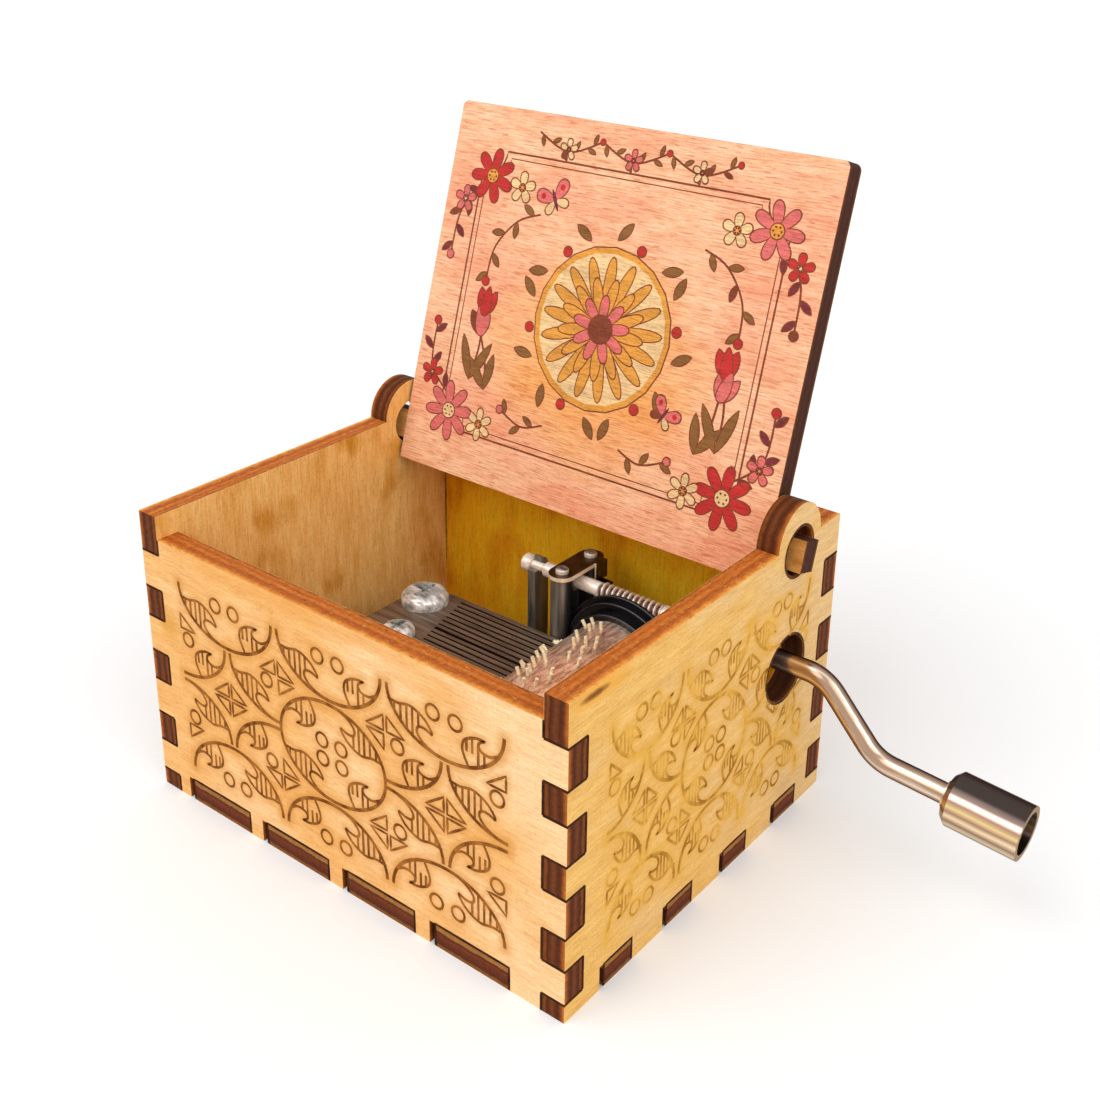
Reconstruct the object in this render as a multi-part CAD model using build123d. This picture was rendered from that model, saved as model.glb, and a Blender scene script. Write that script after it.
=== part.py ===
"""Hand-cranked music box: finger-jointed plywood case, loose-hinged lid and an 18-note movement.

Millimetres. +Z is up and +X points to the crank side. The front panel faces -Y.
The origin is the centre of the case's underside.
"""

import math
import os

from build123d import *

# Plywood case
PLY = 3.0
CASE_WIDTH = 64.0
CASE_DEPTH = 52.0
CASE_HEIGHT = 38.0
FRONT_HEIGHT = CASE_HEIGHT - PLY
HALF_WIDTH = CASE_WIDTH / 2
HALF_DEPTH = CASE_DEPTH / 2
INNER_X = HALF_WIDTH - PLY
INNER_Y = HALF_DEPTH - PLY

# Corner fingers, from the top down
TOP_BLOCK = 5.0
FRONT_FINGER = 4.8
SIDE_FINGER = 4.0
FINGER_PAIRS = 3
BOTTOM_BLOCK = 2.3

# Notches in the walls for the tabs of the bottom panel
NOTCHES = 4
LONG_NOTCH = 11.3
LONG_PITCH = 13.5
LONG_SHIFT = -1.2
LONG_SLACK = 0.9
SHORT_NOTCH = 5.7
SHORT_PITCH = 11.5
SHORT_SLACK = 0.75

# Lid and its hinge: flat tabs that turn in round holes in two ears
HINGE_Y = 16.5
HINGE_Z = FRONT_HEIGHT + PLY / 2
EAR_RADIUS = 4.7
HINGE_HOLE_RADIUS = 3.0
HINGE_HOLE_RISE = 0.3
LID_WIDTH = 57.2
LID_REACH = 44.3
LID_TAIL = 4.6
LID_TAB = 3.8
LID_TAB_SPAN = 66.6
LID_CORNER = 0.9
LID_LEAN = 16.7

# Hole in the right side panel where the crank comes out
CRANK_HOLE_Y = 15.3
CRANK_HOLE_Z = 21.9
CRANK_HOLE_RADIUS = 4.15

# Movement bedplate, a casting screwed down on the bottom panel
BED_LEFT = -21.2
BED_RIGHT = 17.0
BED_FRONT = -9.9
BED_BACK = 20.2
BED_THICKNESS = 2.0
BED_TOP = PLY + BED_THICKNESS
BED_CORNER = 2.0

# Steel comb, its root chamfered at the back left corner
COMB_TOP = 16.5
COMB_THICKNESS = 1.1
COMB_FRONT = -6.9
COMB_BACK = 10.8
COMB_TIP = 2.5
COMB_CHAMFER = 4.4
TEETH = 18
SLOT_WIDTH = 0.3
WIDE_SLOT_WIDTH = 0.5
WIDE_SLOT = 10
BASS_ROOT = -14.4
TREBLE_ROOT = -10.0
TIP_THICKNESS = 0.6
TIP_THINNING = 7.0
WEIGHTED_TEETH = 9
RISER_RIGHT = -14.9

# Comb screws: place, head radius and height, and the share of the height that is rounded
REAR_SCREW = (-18.1, 7.1)
REAR_HEAD_RADIUS = 3.2
REAR_HEAD_HEIGHT = 1.8
FRONT_SCREW = (-14.9, -1.3)
FRONT_HEAD_RADIUS = 2.2
FRONT_HEAD_HEIGHT = 1.4
COMB_SCREW_RADIUS = 1.2
COMB_SCREW_DEPTH = 6.0
HEAD_ROUNDING = 0.72
RECESS_WIDTH = 0.6

# Pinned cylinder and its wheel, on one arbor along Y
CYLINDER_X = 10.3
CYLINDER_Z = 15.0
DRUM_RADIUS = 6.65
DRUM_WALL = 0.8
DRUM_FRONT = -7.0
DRUM_BACK = 11.3
CAP_THICKNESS = 1.0
ARBOR_RADIUS = 0.8
ARBOR_FRONT = -9.8
ARBOR_BACK = 19.1
PIN_RADIUS = 0.22
PIN_REACH = 0.85
PIN_ROOT = 0.2
PINS_PER_TRACK = 7
LUG_HALF_WIDTH = 2.2
LUG_THICKNESS = 1.2
FRONT_LUG_Y = -9.6
REAR_LUG_Y = 17.7

# Worm gearing
WORM_PITCH = 0.8
WHEEL_TEETH = 55
WHEEL_TIP = 7.2
TOOTH_DEPTH = 0.5
TOOTH_TIP_WIDTH = 0.16
TOOTH_ROOT_WIDTH = 0.36
WHEEL_BOSS_RADIUS = 7.4
WHEEL_STEP_RADIUS = 8.5
WHEEL_STEP_FRONT = 12.4
WHEEL_FLANGE_RADIUS = 9.2
WHEEL_FLANGE_FRONT = 13.2
WHEEL_FLANGE_BACK = 13.65
WHEEL_BACK = 17.2
WHEEL_GAP = 0.35

# Crank shaft along X
SHAFT_Y = 15.0
SHAFT_Z = 23.0
WORM_RADIUS = 1.2
WORM_CORE = 0.7
CORE_LAP = 0.3
WORM_LEFT = 5.2
WORM_RIGHT = 15.0
HUB_RADIUS = 1.25
SHAFT_RIGHT = 19.0
JOURNAL_RADIUS = 1.0
END_JOURNAL_RADIUS = 0.6
END_JOURNAL_RIGHT = -3.6
RUNNING_CLEARANCE = 0.05
COLLAR_LEFT = -7.3
COLLAR_RIGHT = -5.9
COLLAR_RADIUS = 1.2
COLLAR_EDGE = 0.25
SOCKET_LEFT = 15.4

# Posts that carry the shaft, and the strap over it
END_POST_LEFT = -5.7
END_POST_RIGHT = -4.5
END_POST_HALF_DEPTH = 1.4
POST_RADIUS = 1.5
FRONT_POST = (0.9, 12.45)
REAR_POST = (0.9, 18.4)
SADDLE_LEFT = -0.5
SADDLE_RIGHT = 2.3
SADDLE_TOP = 22.6
SADDLE_WALL_RIGHT = 4.6
BEARING_LIP = 0.2
STRAP_PLAY = 0.6
POST_TOP = SHAFT_Z + JOURNAL_RADIUS + STRAP_PLAY
STRAP_THICKNESS = 0.55
STRAP_HALF_WIDTH = 1.75
STRAP_LEG_FRONT = 17.0
STRAP_LEG_BACK = 19.0
STRAP_LEG_DROP = 2.4
RIVET_RADIUS = 0.5
RIVET_DEPTH = 2.5
RIVET_HEAD_RADIUS = 0.85
RIVET_HEAD_HEIGHT = 0.7

# Crank rod, bent twice, and the ferrule that spins on its end
ROD_RADIUS = 1.25
SPIGOT_RADIUS = 0.9
SPIGOT_LEFT = 15.6
FIRST_CORNER_X = 37.3
SECOND_CORNER_X = 44.6
CRANK_DROP = 8.0
BEND_RADIUS = 5.0
LEG_TILT = 4.5
FERRULE_START = 9.05
FERRULE_LENGTH = 9.0
FERRULE_RADIUS = 3.2
FERRULE_CHAMFER = 0.7
NECK_LENGTH = 2.55
HEAD_RADIUS = 1.8
HEAD_THICKNESS = 0.9
HEAD_GAP = 0.15
HEAD_POCKET_RADIUS = 2.15
HEAD_POCKET_LENGTH = 1.4
SOCKET_RADIUS = 2.5
STOP_RING_RADIUS = 1.6
STOP_RING_WIDTH = 0.3
STOP_RING_GAP = 0.12

# Countersunk screws from below that hold the movement
FIXING_SCREWS = ((-18.0, 17.0), (-17.5, -4.5), (3.5, -7.2))
FIXING_BOSSES = (FIXING_SCREWS[0], FIXING_SCREWS[2])
FIXING_RADIUS = 1.05
FIXING_SLACK = 0.15
FIXING_HEAD_RADIUS = 2.1
FIXING_SINK = 0.15
FIXING_TIP = 7.2
BOSS_RADIUS = 2.5
BOSS_TOP = 7.5


def block(x0, x1, y0, y1, z0, z1):
    """A box from its six faces."""
    centre = ((x0 + x1) / 2, (y0 + y1) / 2, (z0 + z1) / 2)
    return Pos(*centre) * Box(x1 - x0, y1 - y0, z1 - z0)


def rod_x(x0, x1, y, z, radius):
    """A round bar along X."""
    return Pos((x0 + x1) / 2, y, z) * Rot(0, 90, 0) * Cylinder(radius, x1 - x0)


def rod_y(y0, y1, x, z, radius):
    """A round bar along Y."""
    return Pos(x, (y0 + y1) / 2, z) * Rot(90, 0, 0) * Cylinder(radius, y1 - y0)


def rod_z(z0, z1, x, y, radius):
    """A round bar along Z."""
    return Pos(x, y, (z0 + z1) / 2) * Cylinder(radius, z1 - z0)


def finger_spans():
    """Heights owned by the side panels and by the front and back panels at each corner."""
    levels = [CASE_HEIGHT, CASE_HEIGHT - TOP_BLOCK]
    for step in (FRONT_FINGER, SIDE_FINGER) * FINGER_PAIRS:
        levels.append(levels[-1] - step)
    levels += [BOTTOM_BLOCK, 0.0]
    spans = [(low, high) for high, low in zip(levels, levels[1:])]
    return spans[0::2], spans[1::2]


def notch_spans(width, pitch, shift):
    """Both ends of each notch along a wall."""
    first = shift - pitch * (NOTCHES - 1) / 2
    return [(first + i * pitch - width / 2, first + i * pitch + width / 2) for i in range(NOTCHES)]


SIDE_SPANS, FRONT_SPANS = finger_spans()
LONG_NOTCHES = notch_spans(LONG_NOTCH, LONG_PITCH, LONG_SHIFT)
SHORT_NOTCHES = notch_spans(SHORT_NOTCH, SHORT_PITCH, 0.0)


def long_panel(height, y0, y1):
    """The front or back panel: fingers at both ends and notches along its foot."""
    panel = block(-HALF_WIDTH, HALF_WIDTH, y0, y1, 0, height)
    for low, high in SIDE_SPANS:
        panel -= block(-HALF_WIDTH, -INNER_X, y0, y1, low, high)
        panel -= block(INNER_X, HALF_WIDTH, y0, y1, low, high)
    for start, end in LONG_NOTCHES:
        panel -= block(start, end, y0, y1, 0, PLY)
    return panel


def side_panel(x0, x1):
    """A side panel with the hinge ear standing on its top edge."""
    panel = block(x0, x1, -HALF_DEPTH, HALF_DEPTH, 0, CASE_HEIGHT)
    for low, high in FRONT_SPANS:
        panel -= block(x0, x1, -HALF_DEPTH, -INNER_Y, low, high)
        panel -= block(x0, x1, INNER_Y, HALF_DEPTH, low, high)
    for start, end in SHORT_NOTCHES:
        panel -= block(x0, x1, start, end, 0, PLY)
    panel += rod_x(x0, x1, HINGE_Y, CASE_HEIGHT, EAR_RADIUS)
    panel -= rod_x(x0, x1, HINGE_Y, HINGE_Z + HINGE_HOLE_RISE, HINGE_HOLE_RADIUS)
    return panel


def right_side_panel():
    """The side panel with the crank hole."""
    panel = side_panel(INNER_X, HALF_WIDTH)
    return panel - rod_x(INNER_X, HALF_WIDTH, CRANK_HOLE_Y, CRANK_HOLE_Z, CRANK_HOLE_RADIUS)


def countersunk(x, y, slack):
    """The space of one fixing screw, widened by slack."""
    radius = FIXING_RADIUS + slack
    head = FIXING_HEAD_RADIUS + slack
    cone = Pos(x, y, FIXING_SINK + (head - radius) / 2) * Cone(head, radius, head - radius)
    return cone + rod_z(FIXING_SINK, FIXING_TIP, x, y, radius)


def bottom_panel():
    """The floor of the case: its tabs fill the notches but for a gap at one end of each."""
    panel = block(-INNER_X, INNER_X, -INNER_Y, INNER_Y, 0, PLY)
    for start, end in LONG_NOTCHES:
        panel += block(start + LONG_SLACK, end, -HALF_DEPTH, HALF_DEPTH, 0, PLY)
    for start, end in SHORT_NOTCHES:
        panel += block(-HALF_WIDTH, HALF_WIDTH, start + SHORT_SLACK, end, 0, PLY)
    for x, y in FIXING_SCREWS:
        panel -= countersunk(x, y, FIXING_SLACK)
        panel -= rod_z(0, FIXING_SINK, x, y, FIXING_HEAD_RADIUS + FIXING_SLACK)
    return panel


def lid_panel():
    """The lid with a tab at each side, drawn shut about its axis and then swung open."""
    lid = block(-LID_WIDTH / 2, LID_WIDTH / 2, -LID_REACH, LID_TAIL, -PLY / 2, PLY / 2)
    lid = fillet(lid.edges().filter_by(Axis.Z).group_by(Axis.Y)[0], LID_CORNER)
    lid += block(-LID_TAB_SPAN / 2, LID_TAB_SPAN / 2, -LID_TAB / 2, LID_TAB / 2, -PLY / 2, PLY / 2)
    return Pos(0, HINGE_Y, HINGE_Z) * Rot(-90 - LID_LEAN, 0, 0) * lid


def chamfered_root(right, z0, z1):
    """The comb's root outline, also that of the riser under it, between two heights."""
    corners = (
        (BED_LEFT, COMB_FRONT),
        (right, COMB_FRONT),
        (right, COMB_BACK),
        (BED_LEFT + COMB_CHAMFER, COMB_BACK),
        (BED_LEFT, COMB_BACK - COMB_CHAMFER),
    )
    outline = Plane.XY.offset(z0) * make_face(Polyline(*corners, close=True))
    return extrude(outline, z1 - z0)


def lug(y0):
    """A bearing lug for the arbor: straight sides and a round head."""
    upright = block(
        CYLINDER_X - LUG_HALF_WIDTH,
        CYLINDER_X + LUG_HALF_WIDTH,
        y0,
        y0 + LUG_THICKNESS,
        BED_TOP,
        CYLINDER_Z,
    )
    return upright + rod_y(y0, y0 + LUG_THICKNESS, CYLINDER_X, CYLINDER_Z, LUG_HALF_WIDTH)


def end_post():
    """The thin post at the shaft's left end: round behind the shaft and open to the front."""
    upright = block(
        END_POST_LEFT,
        END_POST_RIGHT,
        SHAFT_Y - END_POST_HALF_DEPTH,
        SHAFT_Y + END_POST_HALF_DEPTH,
        BED_TOP,
        SHAFT_Z,
    )
    post = upright + rod_x(END_POST_LEFT, END_POST_RIGHT, SHAFT_Y, SHAFT_Z, END_POST_HALF_DEPTH)
    top = SHAFT_Z + END_POST_HALF_DEPTH
    front = SHAFT_Y - END_POST_HALF_DEPTH
    return post - block(END_POST_LEFT, END_POST_RIGHT, front, SHAFT_Y, SHAFT_Z - BEARING_LIP, top)


def wheel_relief():
    """The space that the wheel turns in, wider than the wheel by its gap on every step."""
    steps = (
        (WHEEL_STEP_FRONT - WHEEL_GAP, WHEEL_FLANGE_FRONT - WHEEL_GAP, WHEEL_STEP_RADIUS),
        (WHEEL_FLANGE_FRONT - WHEEL_GAP, WHEEL_FLANGE_BACK + WHEEL_GAP, WHEEL_FLANGE_RADIUS),
        (WHEEL_FLANGE_BACK + WHEEL_GAP, WHEEL_BACK + WHEEL_GAP, WHEEL_TIP),
    )
    space = rod_y(*steps[0][:2], CYLINDER_X, CYLINDER_Z, steps[0][2] + WHEEL_GAP)
    for front, back, radius in steps[1:]:
        space += rod_y(front, back, CYLINDER_X, CYLINDER_Z, radius + WHEEL_GAP)
    return space


def bedplate():
    """The casting: plate, comb riser, arbor lugs, shaft posts with a saddle, and screw bosses."""
    plate = block(BED_LEFT, BED_RIGHT, BED_FRONT, BED_BACK, PLY, BED_TOP)
    bed = fillet(plate.edges().filter_by(Axis.Z), BED_CORNER)
    bed += chamfered_root(RISER_RIGHT, BED_TOP, COMB_TOP - COMB_THICKNESS)
    bed += lug(FRONT_LUG_Y)
    bed += lug(REAR_LUG_Y)
    bed += end_post()
    bed += block(SADDLE_LEFT, SADDLE_RIGHT, FRONT_POST[1], REAR_POST[1], BED_TOP, SADDLE_TOP)
    wall_front = WHEEL_FLANGE_BACK + WHEEL_GAP
    bed += block(SADDLE_RIGHT, SADDLE_WALL_RIGHT, wall_front, REAR_POST[1], BED_TOP, SADDLE_TOP)
    for x, y in (FRONT_POST, REAR_POST):
        bed += rod_z(BED_TOP, POST_TOP, x, y, POST_RADIUS)
    for x, y in FIXING_BOSSES:
        bed += rod_z(BED_TOP, BOSS_TOP, x, y, BOSS_RADIUS)
    hole = ARBOR_RADIUS + RUNNING_CLEARANCE
    bed -= rod_y(BED_FRONT, BED_BACK, CYLINDER_X, CYLINDER_Z, hole)
    bed -= rod_x(COLLAR_LEFT, COLLAR_RIGHT + 2, SHAFT_Y, SHAFT_Z, END_JOURNAL_RADIUS + RUNNING_CLEARANCE)
    journal = JOURNAL_RADIUS + RUNNING_CLEARANCE
    bed -= rod_x(SADDLE_LEFT - 1, SADDLE_WALL_RIGHT + 1, SHAFT_Y, SHAFT_Z, journal)
    bed -= wheel_relief()
    for x, y in (FRONT_POST, REAR_POST):
        bed -= rod_z(POST_TOP - RIVET_DEPTH, POST_TOP, x, y, RIVET_RADIUS)
    for x, y in (REAR_SCREW, FRONT_SCREW):
        bed -= rod_z(COMB_TOP - COMB_SCREW_DEPTH, COMB_TOP, x, y, COMB_SCREW_RADIUS)
    for x, y in FIXING_SCREWS:
        bed -= rod_z(PLY, FIXING_TIP, x, y, FIXING_RADIUS)
    return bed


def slot_root(y):
    """Where the slot at this place along the comb ends: the bass teeth are the long ones."""
    share = (y - COMB_FRONT) / (COMB_BACK - COMB_FRONT)
    return TREBLE_ROOT + share * (BASS_ROOT - TREBLE_ROOT)


def comb():
    """The comb: a plate slotted into teeth that grow thinner towards their tips."""
    plate = chamfered_root(COMB_TIP, COMB_TOP - COMB_THICKNESS, COMB_TOP)
    wedge_points = (
        (COMB_TIP - TIP_THINNING, COMB_TOP - COMB_THICKNESS),
        (COMB_TIP, COMB_TOP - COMB_THICKNESS),
        (COMB_TIP, COMB_TOP - TIP_THICKNESS),
    )
    wedge = Plane.XZ * make_face(Polyline(*wedge_points, close=True))
    plate -= Pos(0, COMB_BACK, 0) * extrude(wedge, COMB_BACK - COMB_FRONT)
    pitch = (COMB_BACK - COMB_FRONT) / TEETH
    for number in range(1, TEETH):
        y = COMB_FRONT + number * pitch
        half = (WIDE_SLOT_WIDTH if number == WIDE_SLOT else SLOT_WIDTH) / 2
        plate -= block(slot_root(y), COMB_TIP, y - half, y + half, COMB_TOP - COMB_THICKNESS, COMB_TOP)
    for x, y in (REAR_SCREW, FRONT_SCREW):
        plate -= rod_z(COMB_TOP - COMB_THICKNESS, COMB_TOP, x, y, COMB_SCREW_RADIUS)
    return plate


def comb_weights():
    """Lead weights under the bass teeth, the largest under the lowest note."""
    pitch = (COMB_BACK - COMB_FRONT) / TEETH
    weights = []
    for number in range(WEIGHTED_TEETH):
        y = COMB_BACK - (number + 0.5) * pitch
        size = 1 - number / (2 * WEIGHTED_TEETH)
        right = COMB_TIP - TIP_THINNING
        top = COMB_TOP - COMB_THICKNESS
        half = pitch / 2 - WIDE_SLOT_WIDTH / 2
        weights.append(block(right - 3.2 * size, right, y - half, y + half, top - 1.6 * size, top))
    return Compound(weights)


def pan_screw(place, head_radius, head_height):
    """A pan-head screw with a cross recess, standing on the comb."""
    x, y = place
    head = rod_z(COMB_TOP, COMB_TOP + head_height, x, y, head_radius)
    head = fillet(head.edges().group_by(Axis.Z)[-1], head_height * HEAD_ROUNDING)
    top = COMB_TOP + head_height
    reach = head_radius * 0.6
    floor = top - head_height * 0.5
    head -= block(x - reach, x + reach, y - RECESS_WIDTH / 2, y + RECESS_WIDTH / 2, floor, top)
    head -= block(x - RECESS_WIDTH / 2, x + RECESS_WIDTH / 2, y - reach, y + reach, floor, top)
    return head + rod_z(COMB_TOP - COMB_SCREW_DEPTH, COMB_TOP, x, y, COMB_SCREW_RADIUS)


def drum():
    """The tube that carries the pins."""
    tube = rod_y(DRUM_FRONT, DRUM_BACK, CYLINDER_X, CYLINDER_Z, DRUM_RADIUS)
    return tube - rod_y(DRUM_FRONT, DRUM_BACK, CYLINDER_X, CYLINDER_Z, DRUM_RADIUS - DRUM_WALL)


def drum_pins():
    """The tune: pins on one track for each tooth, spread round the drum by a fixed rule."""
    pitch = (COMB_BACK - COMB_FRONT) / TEETH
    length = PIN_ROOT + PIN_REACH
    pins = []
    for track in range(TEETH):
        y = COMB_FRONT + (track + 0.5) * pitch
        for beat in range(PINS_PER_TRACK):
            turn = (beat * 360 / PINS_PER_TRACK + 47 * track + 13 * (beat * track % 5)) % 360
            pin = Pos(0, 0, DRUM_RADIUS - PIN_ROOT + length / 2) * Cylinder(PIN_RADIUS, length)
            pins.append(Pos(CYLINDER_X, y, CYLINDER_Z) * Rot(0, turn, 0) * pin)
    return Compound(pins)


def drum_cap(y0):
    """A disc pressed into one end of the drum."""
    disc = rod_y(y0, y0 + CAP_THICKNESS, CYLINDER_X, CYLINDER_Z, DRUM_RADIUS - DRUM_WALL)
    return disc - rod_y(y0, y0 + CAP_THICKNESS, CYLINDER_X, CYLINDER_Z, ARBOR_RADIUS)


def tooth_ring():
    """The wheel's toothed outline about the origin, a tooth gap straight up."""
    root = WHEEL_TIP - TOOTH_DEPTH
    points = []
    for tooth in range(WHEEL_TEETH):
        middle = math.radians(90 + 360 / WHEEL_TEETH * (tooth + 0.5))
        corners = (
            (root, -TOOTH_ROOT_WIDTH / 2),
            (WHEEL_TIP, -TOOTH_TIP_WIDTH / 2),
            (WHEEL_TIP, TOOTH_TIP_WIDTH / 2),
            (root, TOOTH_ROOT_WIDTH / 2),
        )
        for radius, across in corners:
            angle = middle + across / radius
            points.append((radius * math.cos(angle), radius * math.sin(angle)))
    return make_face(Polyline(*points, close=True))


def worm_wheel():
    """The moulded wheel on the drum's rear end: boss, two steps in front and toothed rim."""
    rim = Plane.XZ * tooth_ring()
    wheel = Pos(CYLINDER_X, WHEEL_BACK, CYLINDER_Z) * extrude(rim, WHEEL_BACK - WHEEL_FLANGE_BACK)
    wheel += rod_y(
        WHEEL_FLANGE_FRONT, WHEEL_FLANGE_BACK, CYLINDER_X, CYLINDER_Z, WHEEL_FLANGE_RADIUS
    )
    wheel += rod_y(WHEEL_STEP_FRONT, WHEEL_FLANGE_FRONT, CYLINDER_X, CYLINDER_Z, WHEEL_STEP_RADIUS)
    wheel += rod_y(DRUM_BACK, WHEEL_STEP_FRONT, CYLINDER_X, CYLINDER_Z, WHEEL_BOSS_RADIUS)
    return wheel - rod_y(DRUM_BACK, WHEEL_BACK, CYLINDER_X, CYLINDER_Z, ARBOR_RADIUS)


def worm_thread():
    """One right-hand thread, its crest straight under the shaft at the wheel's centre."""
    turns = (WORM_RIGHT - WORM_LEFT) / WORM_PITCH
    inset = 0.1
    path = Helix(WORM_PITCH, turns * WORM_PITCH, WORM_CORE)
    start = path @ 0
    profile_plane = Plane(origin=start, x_dir=(1, 0, 0), z_dir=path % 0)
    points = (
        (-inset, -TOOTH_ROOT_WIDTH / 2),
        (WORM_RADIUS - WORM_CORE, -TOOTH_TIP_WIDTH / 2),
        (WORM_RADIUS - WORM_CORE, TOOTH_TIP_WIDTH / 2),
        (-inset, TOOTH_ROOT_WIDTH / 2),
    )
    profile = profile_plane * make_face(Polyline(*points, close=True))
    thread = sweep(profile, path=path, is_frenet=True)
    phase = -360 * ((CYLINDER_X - WORM_LEFT) / WORM_PITCH % 1)
    return Pos(WORM_LEFT, SHAFT_Y, SHAFT_Z) * Rot(phase, 0, 0) * Rot(0, 90, 0) * thread


def worm_shaft():
    """The shaft: slim end journal, main journal, worm, and a hub with a socket for the rod."""
    core = rod_x(WORM_LEFT - CORE_LAP, WORM_RIGHT + CORE_LAP, SHAFT_Y, SHAFT_Z, WORM_CORE)
    shaft = core + worm_thread()
    steps = (
        (WORM_RIGHT, SHAFT_RIGHT, HUB_RADIUS),
        (END_JOURNAL_RIGHT, WORM_LEFT, JOURNAL_RADIUS),
        (COLLAR_LEFT, END_JOURNAL_RIGHT, END_JOURNAL_RADIUS),
    )
    for left, right, radius in steps:
        shaft += rod_x(left, right, SHAFT_Y, SHAFT_Z, radius)
    return shaft - rod_x(SOCKET_LEFT, SHAFT_RIGHT, SHAFT_Y, SHAFT_Z, SPIGOT_RADIUS)


def shaft_collar():
    """The collar pressed on the shaft's left end."""
    collar = rod_x(COLLAR_LEFT, COLLAR_RIGHT, SHAFT_Y, SHAFT_Z, COLLAR_RADIUS)
    collar = chamfer(collar.edges().filter_by(GeomType.CIRCLE), COLLAR_EDGE)
    return collar - rod_x(COLLAR_LEFT, COLLAR_RIGHT, SHAFT_Y, SHAFT_Z, END_JOURNAL_RADIUS)


def shaft_strap():
    """The strap riveted on the two posts, with one leg bent down behind the worm."""
    half = STRAP_HALF_WIDTH
    top = POST_TOP + STRAP_THICKNESS
    strap = block(
        FRONT_POST[0] - half, FRONT_POST[0] + half, FRONT_POST[1], REAR_POST[1], POST_TOP, top
    )
    for x, y in (FRONT_POST, REAR_POST):
        strap += rod_z(POST_TOP, top, FRONT_POST[0], y, half)
    leg_right = FRONT_POST[0] + half + STRAP_THICKNESS
    strap += block(
        FRONT_POST[0], leg_right, STRAP_LEG_FRONT, STRAP_LEG_BACK, POST_TOP, top
    )
    strap += block(
        leg_right - STRAP_THICKNESS,
        leg_right,
        STRAP_LEG_FRONT,
        STRAP_LEG_BACK,
        top - STRAP_LEG_DROP,
        top,
    )
    for x, y in (FRONT_POST, REAR_POST):
        strap -= rod_z(POST_TOP, top, x, y, RIVET_RADIUS)
    return strap


def strap_rivets():
    """The rivets that hold the strap."""
    top = POST_TOP + STRAP_THICKNESS
    rivets = []
    for x, y in (FRONT_POST, REAR_POST):
        head = rod_z(top, top + RIVET_HEAD_HEIGHT, x, y, RIVET_HEAD_RADIUS)
        head = fillet(head.edges().group_by(Axis.Z)[-1], RIVET_HEAD_HEIGHT * 0.6)
        rivets.append(head + rod_z(POST_TOP - RIVET_DEPTH, top, x, y, RIVET_RADIUS))
    return Compound(rivets)


def leg_frame(along):
    """A plane square to the crank's outer leg, at this distance from its bend corner."""
    tilt = math.radians(LEG_TILT)
    out = Vector(math.cos(tilt), 0, -math.sin(tilt))
    corner = Vector(SECOND_CORNER_X, SHAFT_Y, SHAFT_Z - CRANK_DROP)
    return Plane(origin=corner + out * along, x_dir=(0, 1, 0), z_dir=out)


def leg_bar(start, end, radius):
    """A round bar on the outer leg's line."""
    return leg_frame(start) * extrude(Circle(radius), end - start)


def crank_rod():
    """The bent rod, spigot and peened head included."""
    head_start = FERRULE_START + NECK_LENGTH + HEAD_GAP
    path = FilletPolyline(
        (SHAFT_RIGHT, SHAFT_Y, SHAFT_Z),
        (FIRST_CORNER_X, SHAFT_Y, SHAFT_Z),
        (SECOND_CORNER_X, SHAFT_Y, SHAFT_Z - CRANK_DROP),
        leg_frame(head_start).origin,
        radius=BEND_RADIUS,
    )
    section = Plane(origin=path @ 0, z_dir=path % 0) * Circle(ROD_RADIUS)
    rod = sweep(section, path=path)
    rod += rod_x(SPIGOT_LEFT, SHAFT_RIGHT, SHAFT_Y, SHAFT_Z, SPIGOT_RADIUS)
    rod += leg_bar(head_start, head_start + HEAD_THICKNESS, HEAD_RADIUS)
    ring_end = FERRULE_START - STOP_RING_GAP
    return rod + leg_bar(ring_end - STOP_RING_WIDTH, ring_end, STOP_RING_RADIUS)


def crank_ferrule():
    """The sleeve that the fingers hold: neck, pocket for the rod's head, and open socket."""
    end = FERRULE_START + FERRULE_LENGTH
    pocket = FERRULE_START + NECK_LENGTH
    sleeve = leg_bar(FERRULE_START, end, FERRULE_RADIUS)
    sleeve = chamfer(sleeve.edges().filter_by(GeomType.CIRCLE).sort_by(Axis.X)[0], FERRULE_CHAMFER)
    sleeve -= leg_bar(FERRULE_START, end, ROD_RADIUS + RUNNING_CLEARANCE)
    sleeve -= leg_bar(pocket, end, HEAD_POCKET_RADIUS)
    return sleeve - leg_bar(pocket + HEAD_POCKET_LENGTH, end, SOCKET_RADIUS)


def movement_screws():
    """Countersunk screws through the bottom panel into the bedplate."""
    return Compound([countersunk(x, y, 0.0) for x, y in FIXING_SCREWS])


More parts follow.
